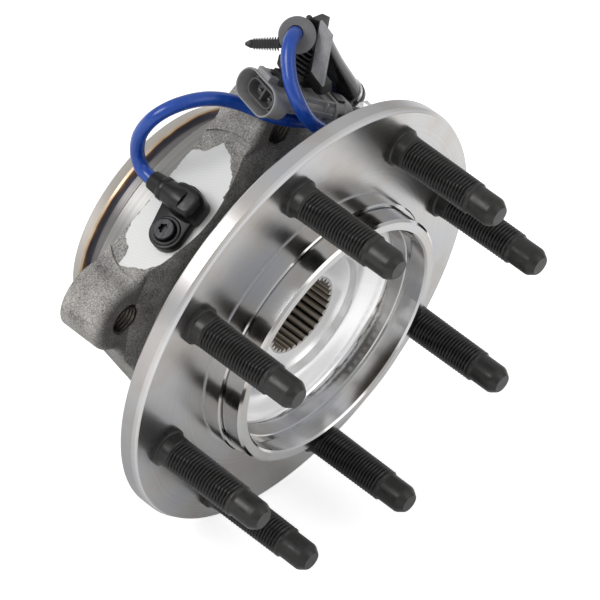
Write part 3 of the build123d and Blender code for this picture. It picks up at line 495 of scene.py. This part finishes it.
def cast_and_machined():
    """Cast skin, with painted shade that darkens it near the flange, everywhere except where a
    face lies in the knuckle's plane or on the turned register and rear ring; there, before the
    heat tints by the ring, a dark grey band of painted shade lies in its groove."""
    made, tree, shader, place = finish("ductile iron, cast and machined", "#7a766f", 1.0, 0.6)
    rings, radius, y = lathe_marks(tree, place, 1.2)
    turned = combined(tree, "MULTIPLY", between(tree, radius, BEARING_R, REGISTER_R + 0.3),
                      between(tree, y, REGISTER_FRONT_Y + 0.2, BEHIND_ALL_Y, 0.2))
    bright = combined(tree, "MAXIMUM", turned, between(tree, y, -0.02, 0.1, 0.01))
    fine = noise(tree, place, 0.7, 8.0, Roughness=0.8)
    broad = noise(tree, place, 9, 2.0)
    tone = combined(tree, "MULTIPLY_ADD", broad, 0.25, fine)
    blasted = add(tree, "ValToRGB", {"Fac": tone}, stops=((0.48, "#3d3b38"), (0.8, "#cfccc7")))
    # Painted shade: the cast skin darkens towards the flange, from y = -17 mm to y = -31 mm.
    flange_shade = mapped(tree, y, FLANGE_SHADE_Y[0] * MM, FLANGE_SHADE_Y[1] * MM, 0.05, 1.0)
    skin = mixed(tree, 1.0, blasted.outputs["Color"], flange_shade, "MULTIPLY")
    # Heat tints of straw, brown and blue by the rear ring, and before them a dark grey band
    # that is painted shade in the ring's groove.
    tint_and_shade_place = mapped(tree, y, (RING_FRONT_Y - 2) * MM, HOUSING_REAR_Y * MM)
    wobble = combined(tree, "MULTIPLY_ADD", broad, 0.16, tint_and_shade_place)
    heat_tint_and_groove_shade = add(tree, "ValToRGB", {"Fac": wobble},
               stops=((0.0, "#8b8a88"), (1.0, "#c2beb9"), (0.15, "#8b8a88"), (0.2, "#c2c1c0"),
                      (0.25, "#bdbcbb"), (0.28, "#787573"), (0.52, "#6b696a"),
                      (0.57, "#535870"), (0.61, "#765c49"), (0.67, "#b59c7e"),
                      (0.75, "#c3bab0")))
    streaks = mapped(tree, rings, NOISE_LOW, NOISE_HIGH, 0.78, 1.0)
    streaked = mixed(tree, 1.0, heat_tint_and_groove_shade.outputs["Color"], streaks, "MULTIPLY")
    tree.links.new(mixed(tree, bright, skin, streaked), shader.inputs["Base Color"])
    tree.links.new(mapped(tree, bright, 0.0, 1.0, 0.58, 0.38), shader.inputs["Roughness"])
    tree.links.new(mapped(tree, bright, 0.0, 1.0, 0.2, 1.0), shader.inputs["Metallic"])
    raised(tree, shader, mixed_value(tree, bright, fine, rings),
           mapped(tree, bright, 0.0, 1.0, CAST_GRAIN * MM, TURNED_GRAIN * MM))
    return made


dress(cast_and_machined(), "bearing_housing")

EAR_COUNT, EAR_PCD = 4, 139.7
EAR_THREAD_Y = (-20.9, -0.5)
TAPPED_R, TAPPED_DEPTH, TAPPED_GAP = 6.24, 0.6, 0.05
ROWS_PER_TAPPED_PITCH = 6
AROUND_HOLE = 36


def tapped_points(turn):
    """Thread in the ear hole at turn degrees: radius is the drilled one less a V of one pitch
    that climbs one pitch a turn, closed on the drilled wall behind it."""
    y = np.arange(*EAR_THREAD_Y, THREAD_PITCH / ROWS_PER_TAPPED_PITCH)
    angle = np.arange(AROUND_HOLE) * 2 * np.pi / AROUND_HOLE
    y, angle = np.meshgrid(y, angle, indexing="ij")
    ridge = 1 - np.abs(2 * ((y / THREAD_PITCH - angle / (2 * np.pi)) % 1.0) - 1)
    radius = TAPPED_R - TAPPED_GAP - TAPPED_DEPTH * np.clip(ridge * 1.3, 0, 1)
    wall = np.full((1, AROUND_HOLE), TAPPED_R)
    radius = np.concatenate([wall, radius, wall, wall])
    y = np.concatenate([y[:1], y, y[-1:], y[:1]])
    angle = np.concatenate([angle[:1], angle, angle[-1:], angle[:1]])
    return off_axis(EAR_PCD / 2, radius, y, angle, turn)


tapped = [tapped_points(360 / EAR_COUNT * i) for i in range(EAR_COUNT)]
inward_faces = copied_faces(len(tapped[0]), AROUND_HOLE, EAR_COUNT)[:, ::-1]
tapped_iron = turned_steel("ductile iron, tapped", "#57534e", "#6f6a63", (0.4, 0.5), 0.8, 0.001)
threads = mesh_piece("tapped_threads", np.concatenate(tapped), inward_faces, tapped_iron,
                     "housing")

# ---- milled sensor pad -------------------------------------------------------------------
# The flat that the sensor stands on, milled through the rough cast skin, so that its edge is
# ragged; fresh bright iron with faint cutter marks across it.
SPIN_AXIS = np.array([0.0, 1.0, 0.0])
PAD_TURN = np.radians(135.0)
PAD_OUT = np.array([np.cos(PAD_TURN), 0.0, np.sin(PAD_TURN)])
PAD_SIDE = np.array([np.sin(PAD_TURN), 0.0, -np.cos(PAD_TURN)])
PAD_DISTANCE = 59.5
PAD_ROW_Y = -15.0
PAD_HOLE_R = 7.6
PAD_SKIN = 0.03
PAD_EDGE = [
    (30.2, -5.4), (27.5, 0.3), (20.5, 7.5), (16.6, 9.4), (12.7, 9.9), (9.1, 13.1),
    (3.7, 13.8), (-10.0, 14.0), (-14.0, 10.5), (-19.3, 8.8), (-24.9, 7.5), (-29.8, 3.0),
    (-33.4, -3.9), (-34.2, -7.5), (-30.4, -7.2), (-27.0, -8.3), (-22.8, -13.4),
    (-16.6, -14.8), (-6.0, -14.8), (6.0, -14.8), (20.0, -14.8), (21.4, -13.0), (23.2, -9.5),
    (26.4, -7.4),
]
FLANK_R, FLANK_Y = (57.5, 61.0, 66.5), (-29.5, -25.5, -20.5)
FLANK_GAP = 0.1
PAD_REAR = -14.9
AROUND_PAD, PAD_RINGS, EDGE_STEPS = 360, 6, 12


def pad_points():
    """Flat ring in the pad's plane: from the sensor's hole out to the ragged edge, whose radius
    follows the edge's corners by angle, plus three small sine waves of 1 to 6 mm length. It
    stops where the barrel's flank, as radius against y, falls below the plane."""
    corners = np.array(PAD_EDGE)
    order = np.argsort(np.arctan2(corners[:, 1], corners[:, 0]))
    angle = np.linspace(-np.pi, np.pi, AROUND_PAD, endpoint=False)
    steps = np.linspace(0, 1, EDGE_STEPS, endpoint=False)
    loop = np.vstack([corners[order], corners[order][:1]])
    dense = np.concatenate([a + np.outer(steps, b - a) for a, b in zip(loop[:-1], loop[1:])])
    dense_angle = np.arctan2(dense[:, 1], dense[:, 0])
    reach = np.interp(angle, dense_angle, np.hypot(*dense.T), period=2 * np.pi)
    ragged = (0.22 * np.sin(23 * angle + 1.0) + 0.16 * np.sin(61 * angle)
              + 0.1 * np.sin(97 * angle + 2.0))
    share = np.linspace(0, 1, PAD_RINGS)[:, None]
    radius = PAD_HOLE_R + share * (reach + ragged - PAD_HOLE_R)
    across, outboard = radius * np.cos(angle), radius * np.sin(angle)
    flank = PAD_ROW_Y - np.interp(np.hypot(PAD_DISTANCE, across), FLANK_R, FLANK_Y)
    outboard = np.clip(outboard, PAD_REAR, flank - FLANK_GAP)
    centre = (PAD_DISTANCE + PAD_SKIN) * PAD_OUT + PAD_ROW_Y * SPIN_AXIS
    return MM * (centre + across[..., None] * PAD_SIDE - outboard[..., None] * SPIN_AXIS)


CUTTER_ARCS = 3.0


def milled_iron():
    """Fly-cut iron: pale and even, with shallow arcs from the cutter."""
    made, tree, shader, place = finish("ductile iron, fly-cut", "#c9c9c8", 0.3, 0.5)
    arcs = add(tree, "TexWave", {"Vector": place, "Scale": 1 / (CUTTER_ARCS * MM),
                                 "Distortion": 1.2, "Detail": 2.0},
               wave_type="RINGS", rings_direction="Z")
    shade = add(tree, "ValToRGB", {"Fac": arcs.outputs["Fac"]},
                stops=((0.0, "#c9c9c8"), (1.0, "#cdcdcc")))
    tree.links.new(shade.outputs["Color"], shader.inputs["Base Color"])
    raised(tree, shader, arcs.outputs["Fac"], 0.0003 * MM)
    return made


pad = mesh_piece("milled_pad", pad_points(), grid_faces(PAD_RINGS, AROUND_PAD), milled_iron(),
                 "housing")

# ---- wheel speed sensor ------------------------------------------------------------------
# Glass-filled nylon moulding: probe in the housing, mounting ear with a raised ring round its
# steel bush, rounded body, and a neck that tapers to the moulded rubber boot of the lead.
SENSOR_SCREW = (-13.0, 2.3)
SENSOR_GAP = 0.02
NECK_HEIGHT = 9.3
SENSOR_ROUND = 96
TO_CENTRE = 99
WELD = 0.001 * MM


def frame_points(frame_of, across, up, along):
    """Points in metres of a local frame: its origin plus across, up and along on its axes."""
    origin, x_axis, y_axis, z_axis = frame_of
    return MM * (origin + across[..., None] * x_axis + up[..., None] * y_axis
                 + along[..., None] * z_axis)


def revolved(frame_of, profile, around=SENSOR_ROUND, centre=(0.0, 0.0)):
    """Round bar: a (radius, distance) profile turned about the frame's z axis at a centre."""
    radius, along = np.array(profile).T
    angle = np.linspace(0, 2 * np.pi, around, endpoint=False)
    ring = np.ones((len(profile), around))
    return frame_points(frame_of, centre[0] + radius[:, None] * np.cos(angle),
                        centre[1] + radius[:, None] * np.sin(angle), along[:, None] * ring)


def super_rows(frame_of, rows, power, around=SENSOR_ROUND):
    """Stack of superellipses |x/a|^n + |y/b|^n = 1, one for each row of (x centre, y centre,
    a, b, distance)."""
    cx, cy, a, b, along = (column[:, None] for column in np.array(rows, float).T)
    angle = np.linspace(0, 2 * np.pi, around, endpoint=False)
    c, s = np.cos(angle), np.sin(angle)
    x = cx + a * np.sign(c) * np.abs(c) ** (2 / power)
    y = cy + b * np.sign(s) * np.abs(s) ** (2 / power)
    return frame_points(frame_of, x, y, along + 0 * x)


def hull_rows(frame_of, circles, rows, around=SENSOR_ROUND):
    """Stack of convex outlines round two circles, one for each row of (growth, distance): at
    each angle the outline touches the circle that reaches furthest that way. A growth of minus
    TO_CENTRE closes the stack on the first circle's centre."""
    (x0, y0, r0), (x1, y1, r1) = circles
    angle = np.linspace(0, 2 * np.pi, around, endpoint=False)
    c, s = np.cos(angle), np.sin(angle)
    second = x1 * c + y1 * s + r1 > x0 * c + y0 * s + r0
    x, y, r = np.where(second, x1, x0), np.where(second, y1, y0), np.where(second, r1, r0)
    grow, along = (column[:, None] for column in np.array(rows, float).T)
    closed = grow == -TO_CENTRE
    return frame_points(frame_of, np.where(closed, x0, x + (r + grow) * c),
                        np.where(closed, y0, y + (r + grow) * s), along + 0 * c)


def stacked(name, grids, material, body):
    """One piece from several closed stacks of rows: points that coincide are welded, which
    closes the stacks' ends, and the quads point outwards."""
    faces, start = [], 0
    for grid in grids:
        rows, around = grid.shape[:2]
        faces.append(grid_faces(rows, around) + start)
        start += rows * around
    points = np.concatenate([grid.reshape(-1, 3) for grid in grids])
    piece = mesh_piece(name, points, np.concatenate(faces), material, body)
    scratch = bmesh.new()
    scratch.from_mesh(piece.data)
    bmesh.ops.remove_doubles(scratch, verts=scratch.verts, dist=WELD)
    bmesh.ops.recalc_face_normals(scratch, faces=scratch.faces)
    scratch.to_mesh(piece.data)
    scratch.free()
    smooth(piece.data)
    return piece


def unit(vector):
    """The vector at length 1: v / |v|."""
    return np.array(vector, float) / np.linalg.norm(vector)


sensor_foot = (PAD_DISTANCE + SENSOR_GAP) * PAD_OUT + PAD_ROW_Y * SPIN_AXIS
PAD_FRAME = (sensor_foot, PAD_SIDE, -SPIN_AXIS, PAD_OUT)
NECK_FRAME = (sensor_foot + NECK_HEIGHT * PAD_OUT, PAD_SIDE, PAD_OUT, SPIN_AXIS)
moulded_nylon = grained("black glass-filled nylon, moulded", "#0a0a0b", "#131314", 0.5,
                        (0.28, 0.42), 0.008, Specular_IOR_Level=0.35)
sensor_body = super_rows(PAD_FRAME, [
    (0.4, 2.4, 0.0, 0.0, 0.0), (0.4, 2.4, 6.6, 7.4, 0.0), (0.6, 2.4, 6.4, 7.3, 8.0),
    (0.8, 2.4, 6.1, 7.1, 10.8), (0.8, 2.4, 5.6, 6.6, 12.1), (0.8, 2.4, 4.8, 5.8, 12.8),
    (0.8, 2.4, 3.8, 4.8, 13.0), (0.8, 2.4, 0.0, 0.0, 13.0)], 3.4)
sensor_neck = revolved(NECK_FRAME, [
    (0.0, -3.0), (5.2, -3.0), (5.6, -1.0), (5.5, 2.0), (5.0, 5.4), (4.9, 6.4), (5.15, 6.8),
    (5.15, 8.6), (4.8, 9.2), (4.4, 9.38), (0.0, 9.38)])
sensor_ear = hull_rows(PAD_FRAME, ((0.0, 0.0, 8.4), (*SENSOR_SCREW, 7.3)), [
    (-TO_CENTRE, 0.0), (0.0, 0.0), (0.0, 4.3), (-0.25, 4.8), (-0.8, 5.0), (-TO_CENTRE, 5.0)])
sensor_rim = revolved(PAD_FRAME, [
    (4.7, 5.0), (4.7, 5.5), (5.0, 5.8), (5.9, 5.8), (6.3, 5.4), (6.4, 5.0)],
    centre=SENSOR_SCREW)
sensor_probe = revolved(PAD_FRAME, [
    (0.0, 0.0), (7.2, 0.0), (7.2, -3.0), (5.9, -3.0), (5.9, -5.4), (7.2, -5.4), (7.2, -15.4),
    (6.7, -15.9), (0.0, -15.9)])
sensor = stacked("sensor_moulding", [sensor_body, sensor_neck, sensor_ear, sensor_rim,
                                     sensor_probe], moulded_nylon, "housing")
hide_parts("abs_sensor")
boot_rubber = grained("black moulded rubber", "#080809", "#101011", 0.5, (0.4, 0.52), 0.006,
                      Specular_IOR_Level=0.3)
dress(boot_rubber, "cable_boot", "wire_seal")
shrink_tube = grained("black polyolefin sleeve", "#0c0c0d", "#151516", 1.0, (0.2, 0.3), 0.004,
                      Coat_Weight=0.6, Coat_Roughness=0.2)
dress(shrink_tube, "cable_sleeve")
plated = turned_steel("black zinc plate on steel", "#2c2c2e", "#454547", (0.34, 0.44), 1.0,
                      0.0006)
dress(plated, "sensor_screw", "compression_bush")

# ---- harness connector -------------------------------------------------------------------
# Two-way sealed connector, injection moulded in grey PBT: an oval shroud with a thin rim, the
# terminal housing set back inside it, a slim railed neck, and a grey retainer with dark latches
# at its back.
CONNECTOR_MOUTH = (-27.6, -21.0, 97.8)
CONNECTOR_AXIS = unit((0.911, -0.271, -0.314))
CONNECTOR_WIDE = np.array([-0.285, -0.959, 0.0])
connector_x = unit(CONNECTOR_WIDE - np.dot(CONNECTOR_WIDE, CONNECTOR_AXIS) * CONNECTOR_AXIS)
CONNECTOR_FRAME = (np.array(CONNECTOR_MOUTH), connector_x,
                   np.cross(CONNECTOR_AXIS, connector_x), CONNECTOR_AXIS)


def oval_rows(frame_of, rows, around=SENSOR_ROUND):
    """Stack of stadium outlines, one for each row of (width, height, distance): half circles
    moved apart by width less height."""
    width, height, along = (column[:, None] for column in np.array(rows, float).T)
    angle = (np.arange(around) + 0.5) * 2 * np.pi / around
    c, s = np.cos(angle), np.sin(angle)
    x = np.sign(c) * (width - height) / 2 + height / 2 * c
    return frame_points(frame_of, x, height / 2 * s, along + 0 * x)


def box_rows(frame_of, x, y, z, edge=0.25):
    """Block between two values on each axis, with small round corners and bevels edge mm wide:
    superellipses of power 14."""
    (x0, x1), (y0, y1), (z0, z1) = x, y, z
    cx, cy, a, b = (x0 + x1) / 2, (y0 + y1) / 2, (x1 - x0) / 2, (y1 - y0) / 2
    return super_rows(frame_of, [
        (cx, cy, 0, 0, z0), (cx, cy, a - edge, b - edge, z0), (cx, cy, a, b, z0 + edge),
        (cx, cy, a, b, z1 - edge), (cx, cy, a - edge, b - edge, z1), (cx, cy, 0, 0, z1)],
        14.0, 64)


grey_pbt = grained("grey PBT, moulded", "#7d7d7e", "#949495", 0.6, (0.28, 0.4), 0.006)
shroud = oval_rows(CONNECTOR_FRAME, [
    (0, 0, 49.0), (11.8, 7.8, 49.0), (12.6, 8.6, 48.6), (12.6, 8.6, 15.4), (13.6, 9.4, 15.0),
    (13.6, 9.4, 13.8), (15.2, 9.8, 13.4), (17.2, 10.4, 10.6), (21.8, 11.6, 9.9),
    (23.9, 12.6, 9.1), (24.4, 12.9, 2.1), (25.2, 13.5, 1.8), (25.3, 13.6, 0.3),
    (24.9, 13.2, 0.0), (23.9, 12.2, 0.0), (23.6, 11.9, 0.3), (22.9, 11.2, 8.0), (0, 0, 8.0)])
rails = [box_rows(CONNECTOR_FRAME, (-5.4, -3.6), (-5.1, 0.0), (15.0, 39.0)),
         box_rows(CONNECTOR_FRAME, (3.2, 5.0), (-5.1, 0.0), (15.0, 39.0)),
         box_rows(CONNECTOR_FRAME, (-6.9, 6.9), (-4.9, 4.9), (33.5, 34.7)),
         box_rows(CONNECTOR_FRAME, (2.0, 7.4), (-1.0, 1.0), (22.0, 39.0))]
latch = [box_rows(CONNECTOR_FRAME, (-6.2, 2.2), (-9.1, -5.6), (0.6, 3.2)),
         box_rows(CONNECTOR_FRAME, (-6.2, -3.4), (-8.6, -5.6), (2.9, 9.0)),
         box_rows(CONNECTOR_FRAME, (-0.6, 2.2), (-8.6, -5.6), (2.9, 9.0))]
shell = stacked("connector_body", [shroud, *rails, *latch], grey_pbt, "housing")
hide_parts("connector_shell")
dark_pbt = grained("dark PBT, moulded", "#1a1a1b", "#29292a", 0.6, (0.34, 0.46), 0.006)
tower = oval_rows(CONNECTOR_FRAME, [
    (17.6, 8.0, 8.1), (17.2, 7.7, 3.2), (16.8, 7.3, 2.9), (15.7, 6.2, 2.9), (15.3, 5.8, 3.2),
    (15.1, 5.6, 7.7), (0, 0, 7.7)])
partition = box_rows(CONNECTOR_FRAME, (-0.5, 0.5), (-3.0, 3.0), (4.0, 7.9))
smoke_pbt = grained("smoke grey PBT, moulded", "#474748", "#575758", 0.6, (0.4, 0.5), 0.006)
core = stacked("terminal_housing", [tower, partition], smoke_pbt, "housing")
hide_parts("connector_core")
blades = [box_rows(CONNECTOR_FRAME, (x - 0.8, x + 0.8), (-0.35, 0.35), (5.0, 8.5), 0.15)
          for x in (-3.4, 3.4)]
tinned = turned_steel("tinned brass", "#716e67", "#8d8a82", (0.2, 0.3), 1.0, 0.0006)
terminals = stacked("terminal_blades", blades, tinned, "housing")
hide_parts("connector_blades")
retainer = stacked("wire_seal_retainer", [
    oval_rows(CONNECTOR_FRAME, [(12.7, 8.7, 39.6), (14.6, 10.5, 39.6), (15.0, 10.9, 40.0),
                                (15.0, 10.9, 41.2), (14.2, 10.1, 41.6), (14.2, 10.1, 44.8),
                                (15.2, 11.1, 45.2), (15.2, 11.1, 48.4), (14.6, 10.5, 49.0),
                                (11.0, 7.0, 49.0)])], grey_pbt, "housing")
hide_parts("retainer_band")
latches = stacked("retainer_latches", [
    box_rows(CONNECTOR_FRAME, (4.6, 8.0), (-2.4, 2.4), (40.8, 45.6)),
    box_rows(CONNECTOR_FRAME, (-3.0, 3.0), (-6.0, -4.4), (40.8, 45.6))], dark_pbt, "housing")
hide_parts("retainer_band")
dress(dark_pbt, "connector_lock")

# ---- harness bracket and its fittings ----------------------------------------------------
# Black nylon bracket moulded over the lead, with a grey cover plate and disc, a ribbed side, a
# fir-tree push fastener, and a stainless band and tab on the sleeve.
UPRIGHT_FRAME = (np.zeros(3), SPIN_AXIS, np.array([0.0, 0.0, 1.0]), np.array([1.0, 0.0, 0.0]))
BRACKET_OUTLINE = [
    (-12.8, 94.7), (-10.2, 96.5), (-9.9, 100.6), (-12.0, 103.5), (-12.0, 117.0),
    (-17.0, 121.2), (-19.6, 124.6), (-23.45, 125.3), (-24.5, 117.8), (-25.5, 110.3),
    (-26.55, 102.75), (-33.6, 99.85), (-34.6, 96.4), (-32.6, 95.6), (-30.0, 97.0),
    (-24.5, 93.6), (-18.0, 93.0),
]
BRACKET_CENTRE = (-20.0, 99.0)
FIN_COUNT, FIN_TOP, FIN_PITCH, FIN_THICKNESS = 6, 111.4, 2.3, 1.1
SLEEVE_TOP, SLEEVE_END = np.array([11.2, -19.2, 109.4]), np.array([33.6, -25.0, 78.1])
CLIP_RIGHT = np.array([0.6336, -0.7297, 0.2571])
CLIP_BACK = np.array([-0.7144, -0.4244, 0.5563])
CLIP_ORIGIN = np.array([-8.8, -20.0, 118.7])
TREE_L = 14.6
RUNG_PLACES = (1.6, 4.2, 6.8, 9.4, 11.6)
BARB_COUNT, BARB_START, BARB_PITCH = 10, 1.2, 1.05
BARB_REACH = (2.9, 2.3)


def outline_rows(frame_of, outline, centre, rows):
    """Stack of one star-shaped outline, one for each row of (inset, distance): every corner is
    moved towards the centre by the inset, or all the way where the inset is TO_CENTRE."""
    corner = np.array(outline) - centre
    reach = np.hypot(*corner.T)
    inset, along = (column[:, None] for column in np.array(rows, float).T)
    keep = 1 - np.minimum(inset, reach) / reach
    return frame_points(frame_of, centre[0] + keep * corner[:, 0],
                        centre[1] + keep * corner[:, 1], along + 0 * keep)


black_nylon = grained("black nylon, moulded", "#0b0b0c", "#151516", 0.5, (0.28, 0.42), 0.008,
                      Specular_IOR_Level=0.4)
bracket = outline_rows(UPRIGHT_FRAME, BRACKET_OUTLINE, BRACKET_CENTRE, [
    (TO_CENTRE, -1.7), (0.35, -1.7), (0.0, -1.35), (0.0, 4.95), (0.35, 5.3), (TO_CENTRE, 5.3)])
fins = [box_rows(UPRIGHT_FRAME, (-25.6, -18.4), (z - FIN_THICKNESS, z), (-3.6, -1.5), 0.15)
        for z in FIN_TOP - FIN_PITCH * np.arange(FIN_COUNT)]
peg = revolved((np.array([0.2, -17.4, 119.0]), *np.eye(3)), [
    (0.0, 0.0), (1.3, 0.0), (1.3, 3.9), (0.9, 4.4), (0.0, 4.4)], 32)
sleeve_axis = unit(SLEEVE_END - SLEEVE_TOP)
elbow = revolved((SLEEVE_TOP - 2 * sleeve_axis, SPIN_AXIS, np.cross(sleeve_axis, SPIN_AXIS),
                  sleeve_axis), [
    (0.0, -4.7), (2.2, -4.2), (3.7, -2.9), (4.6, -1.0), (4.7, 0.0), (4.5, 1.9), (0.0, 1.9)])
arm = revolved((np.array([4.0, -18.7, 111.0]), *UPRIGHT_FRAME[1:]), [
    (0.0, 0.0), (4.4, 0.0), (4.4, 5.8), (0.0, 5.8)])
bracket_piece = stacked("harness_bracket", [bracket, *fins, peg, elbow, arm], black_nylon,
                        "housing")
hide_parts("clip_body")
clip_up = np.cross(CLIP_BACK, CLIP_RIGHT)
tree_root = CLIP_ORIGIN - 6.0 * CLIP_RIGHT - 3.4 * clip_up - 0.9 * CLIP_BACK
TREE_FRAME = (tree_root, CLIP_BACK, np.cross(-CLIP_RIGHT, CLIP_BACK), -CLIP_RIGHT)
tree_rails = [box_rows(TREE_FRAME, (-0.8, 0.8), side, (-1.0, 12.2), 0.12)
              for side in ((-1.7, -0.7), (0.7, 1.7))]
tree_rungs = [box_rows(TREE_FRAME, (-0.6, 0.6), (-0.9, 0.9), (z, z + 0.8), 0.1)
              for z in RUNG_PLACES]
tree_web = box_rows(TREE_FRAME, (-0.3, 0.1), (-0.8, 0.8), (-1.0, 12.0), 0.1)
tree_barbs = [super_rows(TREE_FRAME, [
    (0, 0, 0, 0, z), (0, 0, 0.9, reach, z), (0, 0, 0.9, reach, z + 0.35),
    (0, 0, 0.8, 1.7, z + 0.9), (0, 0, 0, 0, z + 0.9)], 8.0, 48)
    for z, reach in zip(BARB_START + BARB_PITCH * np.arange(BARB_COUNT),
                        np.linspace(*BARB_REACH, BARB_COUNT))]
tree_tip = super_rows(TREE_FRAME, [
    (0, 0, 0, 0, 11.8), (0, 0, 0.9, 1.75, 11.8), (0, 0, 0.9, 1.75, 12.4),
    (0, 0, 0.5, 0.7, TREE_L - 0.2), (0, 0, 0.3, 0.5, TREE_L), (0, 0, 0, 0, TREE_L)], 4.0, 48)
tree = stacked("fir_tree_fastener", [*tree_rails, *tree_rungs, tree_web, *tree_barbs, tree_tip],
               black_nylon, "housing")
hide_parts("fir_tree_clip")
grey_nylon = grained("grey nylon, moulded", "#5c5c5d", "#6e6e6f", 0.6, (0.4, 0.52), 0.01)
dress(grey_nylon, "lead_grommet", "sleeve_ring")
plate_nylon = grained("worn grey nylon", "#8e8e8f", "#b4b4b5", 0.9, (0.38, 0.5), 0.012)
dress(plate_nylon, "clamp_plate")
stainless = turned_steel("stainless steel, rolled", "#b8b8b9", "#dadadb", (0.18, 0.28), 1.2,
                         0.0006)
dress(stainless, "sleeve_band", "bracket_tab")


# ---- floor, backdrop and lights ----------------------------------------------------------
# Pale studio paper under a broad soft box at the knuckle side and a weaker one on the wheel
# side. The backdrop is white to the camera; in reflections the floor carries a painted shadow
# by the object's foot.
FLOOR_REACH = 6.0
FLOOR_Z = cad_box[0][2] - 0.0005
FLOOR_GLOW = 0.66
FOOT_SHADOW_REACH, FOOT_SHADOW_GLOW = (0.06, 0.34), (0.02, 0.62)
CEILING_GLOW = (0.62, 0.95)
SKY_GLOW = 0.42


def shown_rays(tree):
    """1 for camera, glossy and transmission rays, which see the backdrop, and 0 for the rest;
    and 1 for glossy rays alone."""
    ray = add(tree, "LightPath").outputs
    first = combined(tree, "MAXIMUM", ray["Is Camera Ray"], ray["Is Glossy Ray"])
    both = combined(tree, "MAXIMUM", first, ray["Is Transmission Ray"])
    return both, ray["Is Glossy Ray"]


def stage_floor():
    """White floor: it shows its own light to the camera, takes the soft shadow, and in glossy
    rays runs from a near-black painted shadow at the object's foot to white 0.34 m away."""
    mesh = bpy.data.meshes.new("floor")
    corners = [(x * FLOOR_REACH, y * FLOOR_REACH, FLOOR_Z)
               for x, y in ((-1, -1), (1, -1), (1, 1), (-1, 1))]
    mesh.from_pydata(corners, [], [(0, 1, 2, 3)])
    floor = bpy.data.objects.new("floor", mesh)
    scene.collection.objects.link(floor)
    made, tree, shader, place = finish("white studio paper", "#f4f4f4", 0.0, 0.9)
    shown, glossy = shown_rays(tree)
    away = length_across(tree, place, (1.0, 1.0, 0.0))
    # Painted shadow: in glossy rays the floor's glow rises from 0.02 at 0.06 m from the origin
    # to 0.62 at 0.34 m.
    foot_shadow = mapped(tree, away, *FOOT_SHADOW_REACH, *FOOT_SHADOW_GLOW)
    level = mixed_value(tree, glossy, FLOOR_GLOW, foot_shadow)
    glow = combined(tree, "MULTIPLY", shown, level)
    tree.links.new(glow, shader.inputs["Emission Strength"])
    shader.inputs["Emission Color"].default_value = (1, 1, 1, 1)
    floor.data.materials.append(made)


stage_floor()
world = bpy.data.worlds.new("studio")
scene.world = world
world.use_nodes = True
sky = world.node_tree
shown, glossy = shown_rays(sky)
direction = add(sky, "TexCoord").outputs["Generated"]
height = add(sky, "SeparateXYZ", {0: direction}).outputs["Z"]
ceiling = mapped(sky, height, 0.0, 0.8, *CEILING_GLOW)
level = mixed_value(sky, shown, SKY_GLOW, mixed_value(sky, glossy, 1.0, ceiling))
backdrop = sky.nodes["Background"]
backdrop.inputs["Color"].default_value = (1, 1, 1, 1)
sky.links.new(level, backdrop.inputs["Strength"])


def soft_box(name, place, size, power):
    """Square area lamp at a place, turned to face the object."""
    lamp = bpy.data.objects.new(name, bpy.data.lights.new(name, "AREA"))
    lamp.data.shape = "SQUARE"
    lamp.data.size = size
    lamp.data.energy = power
    scene.collection.objects.link(lamp)
    aim = (-Vector(place)).to_track_quat("-Z", "Y")
    lamp.matrix_world = Matrix.Translation(place) @ aim.to_matrix().to_4x4()


soft_box("knuckle_side_box", (-1.5, 0.5, 1.1), size=0.9, power=19)
soft_box("wheel_side_box", (0.3, -1.6, 1.2), size=1.2, power=6)

bpy.context.view_layer.update()
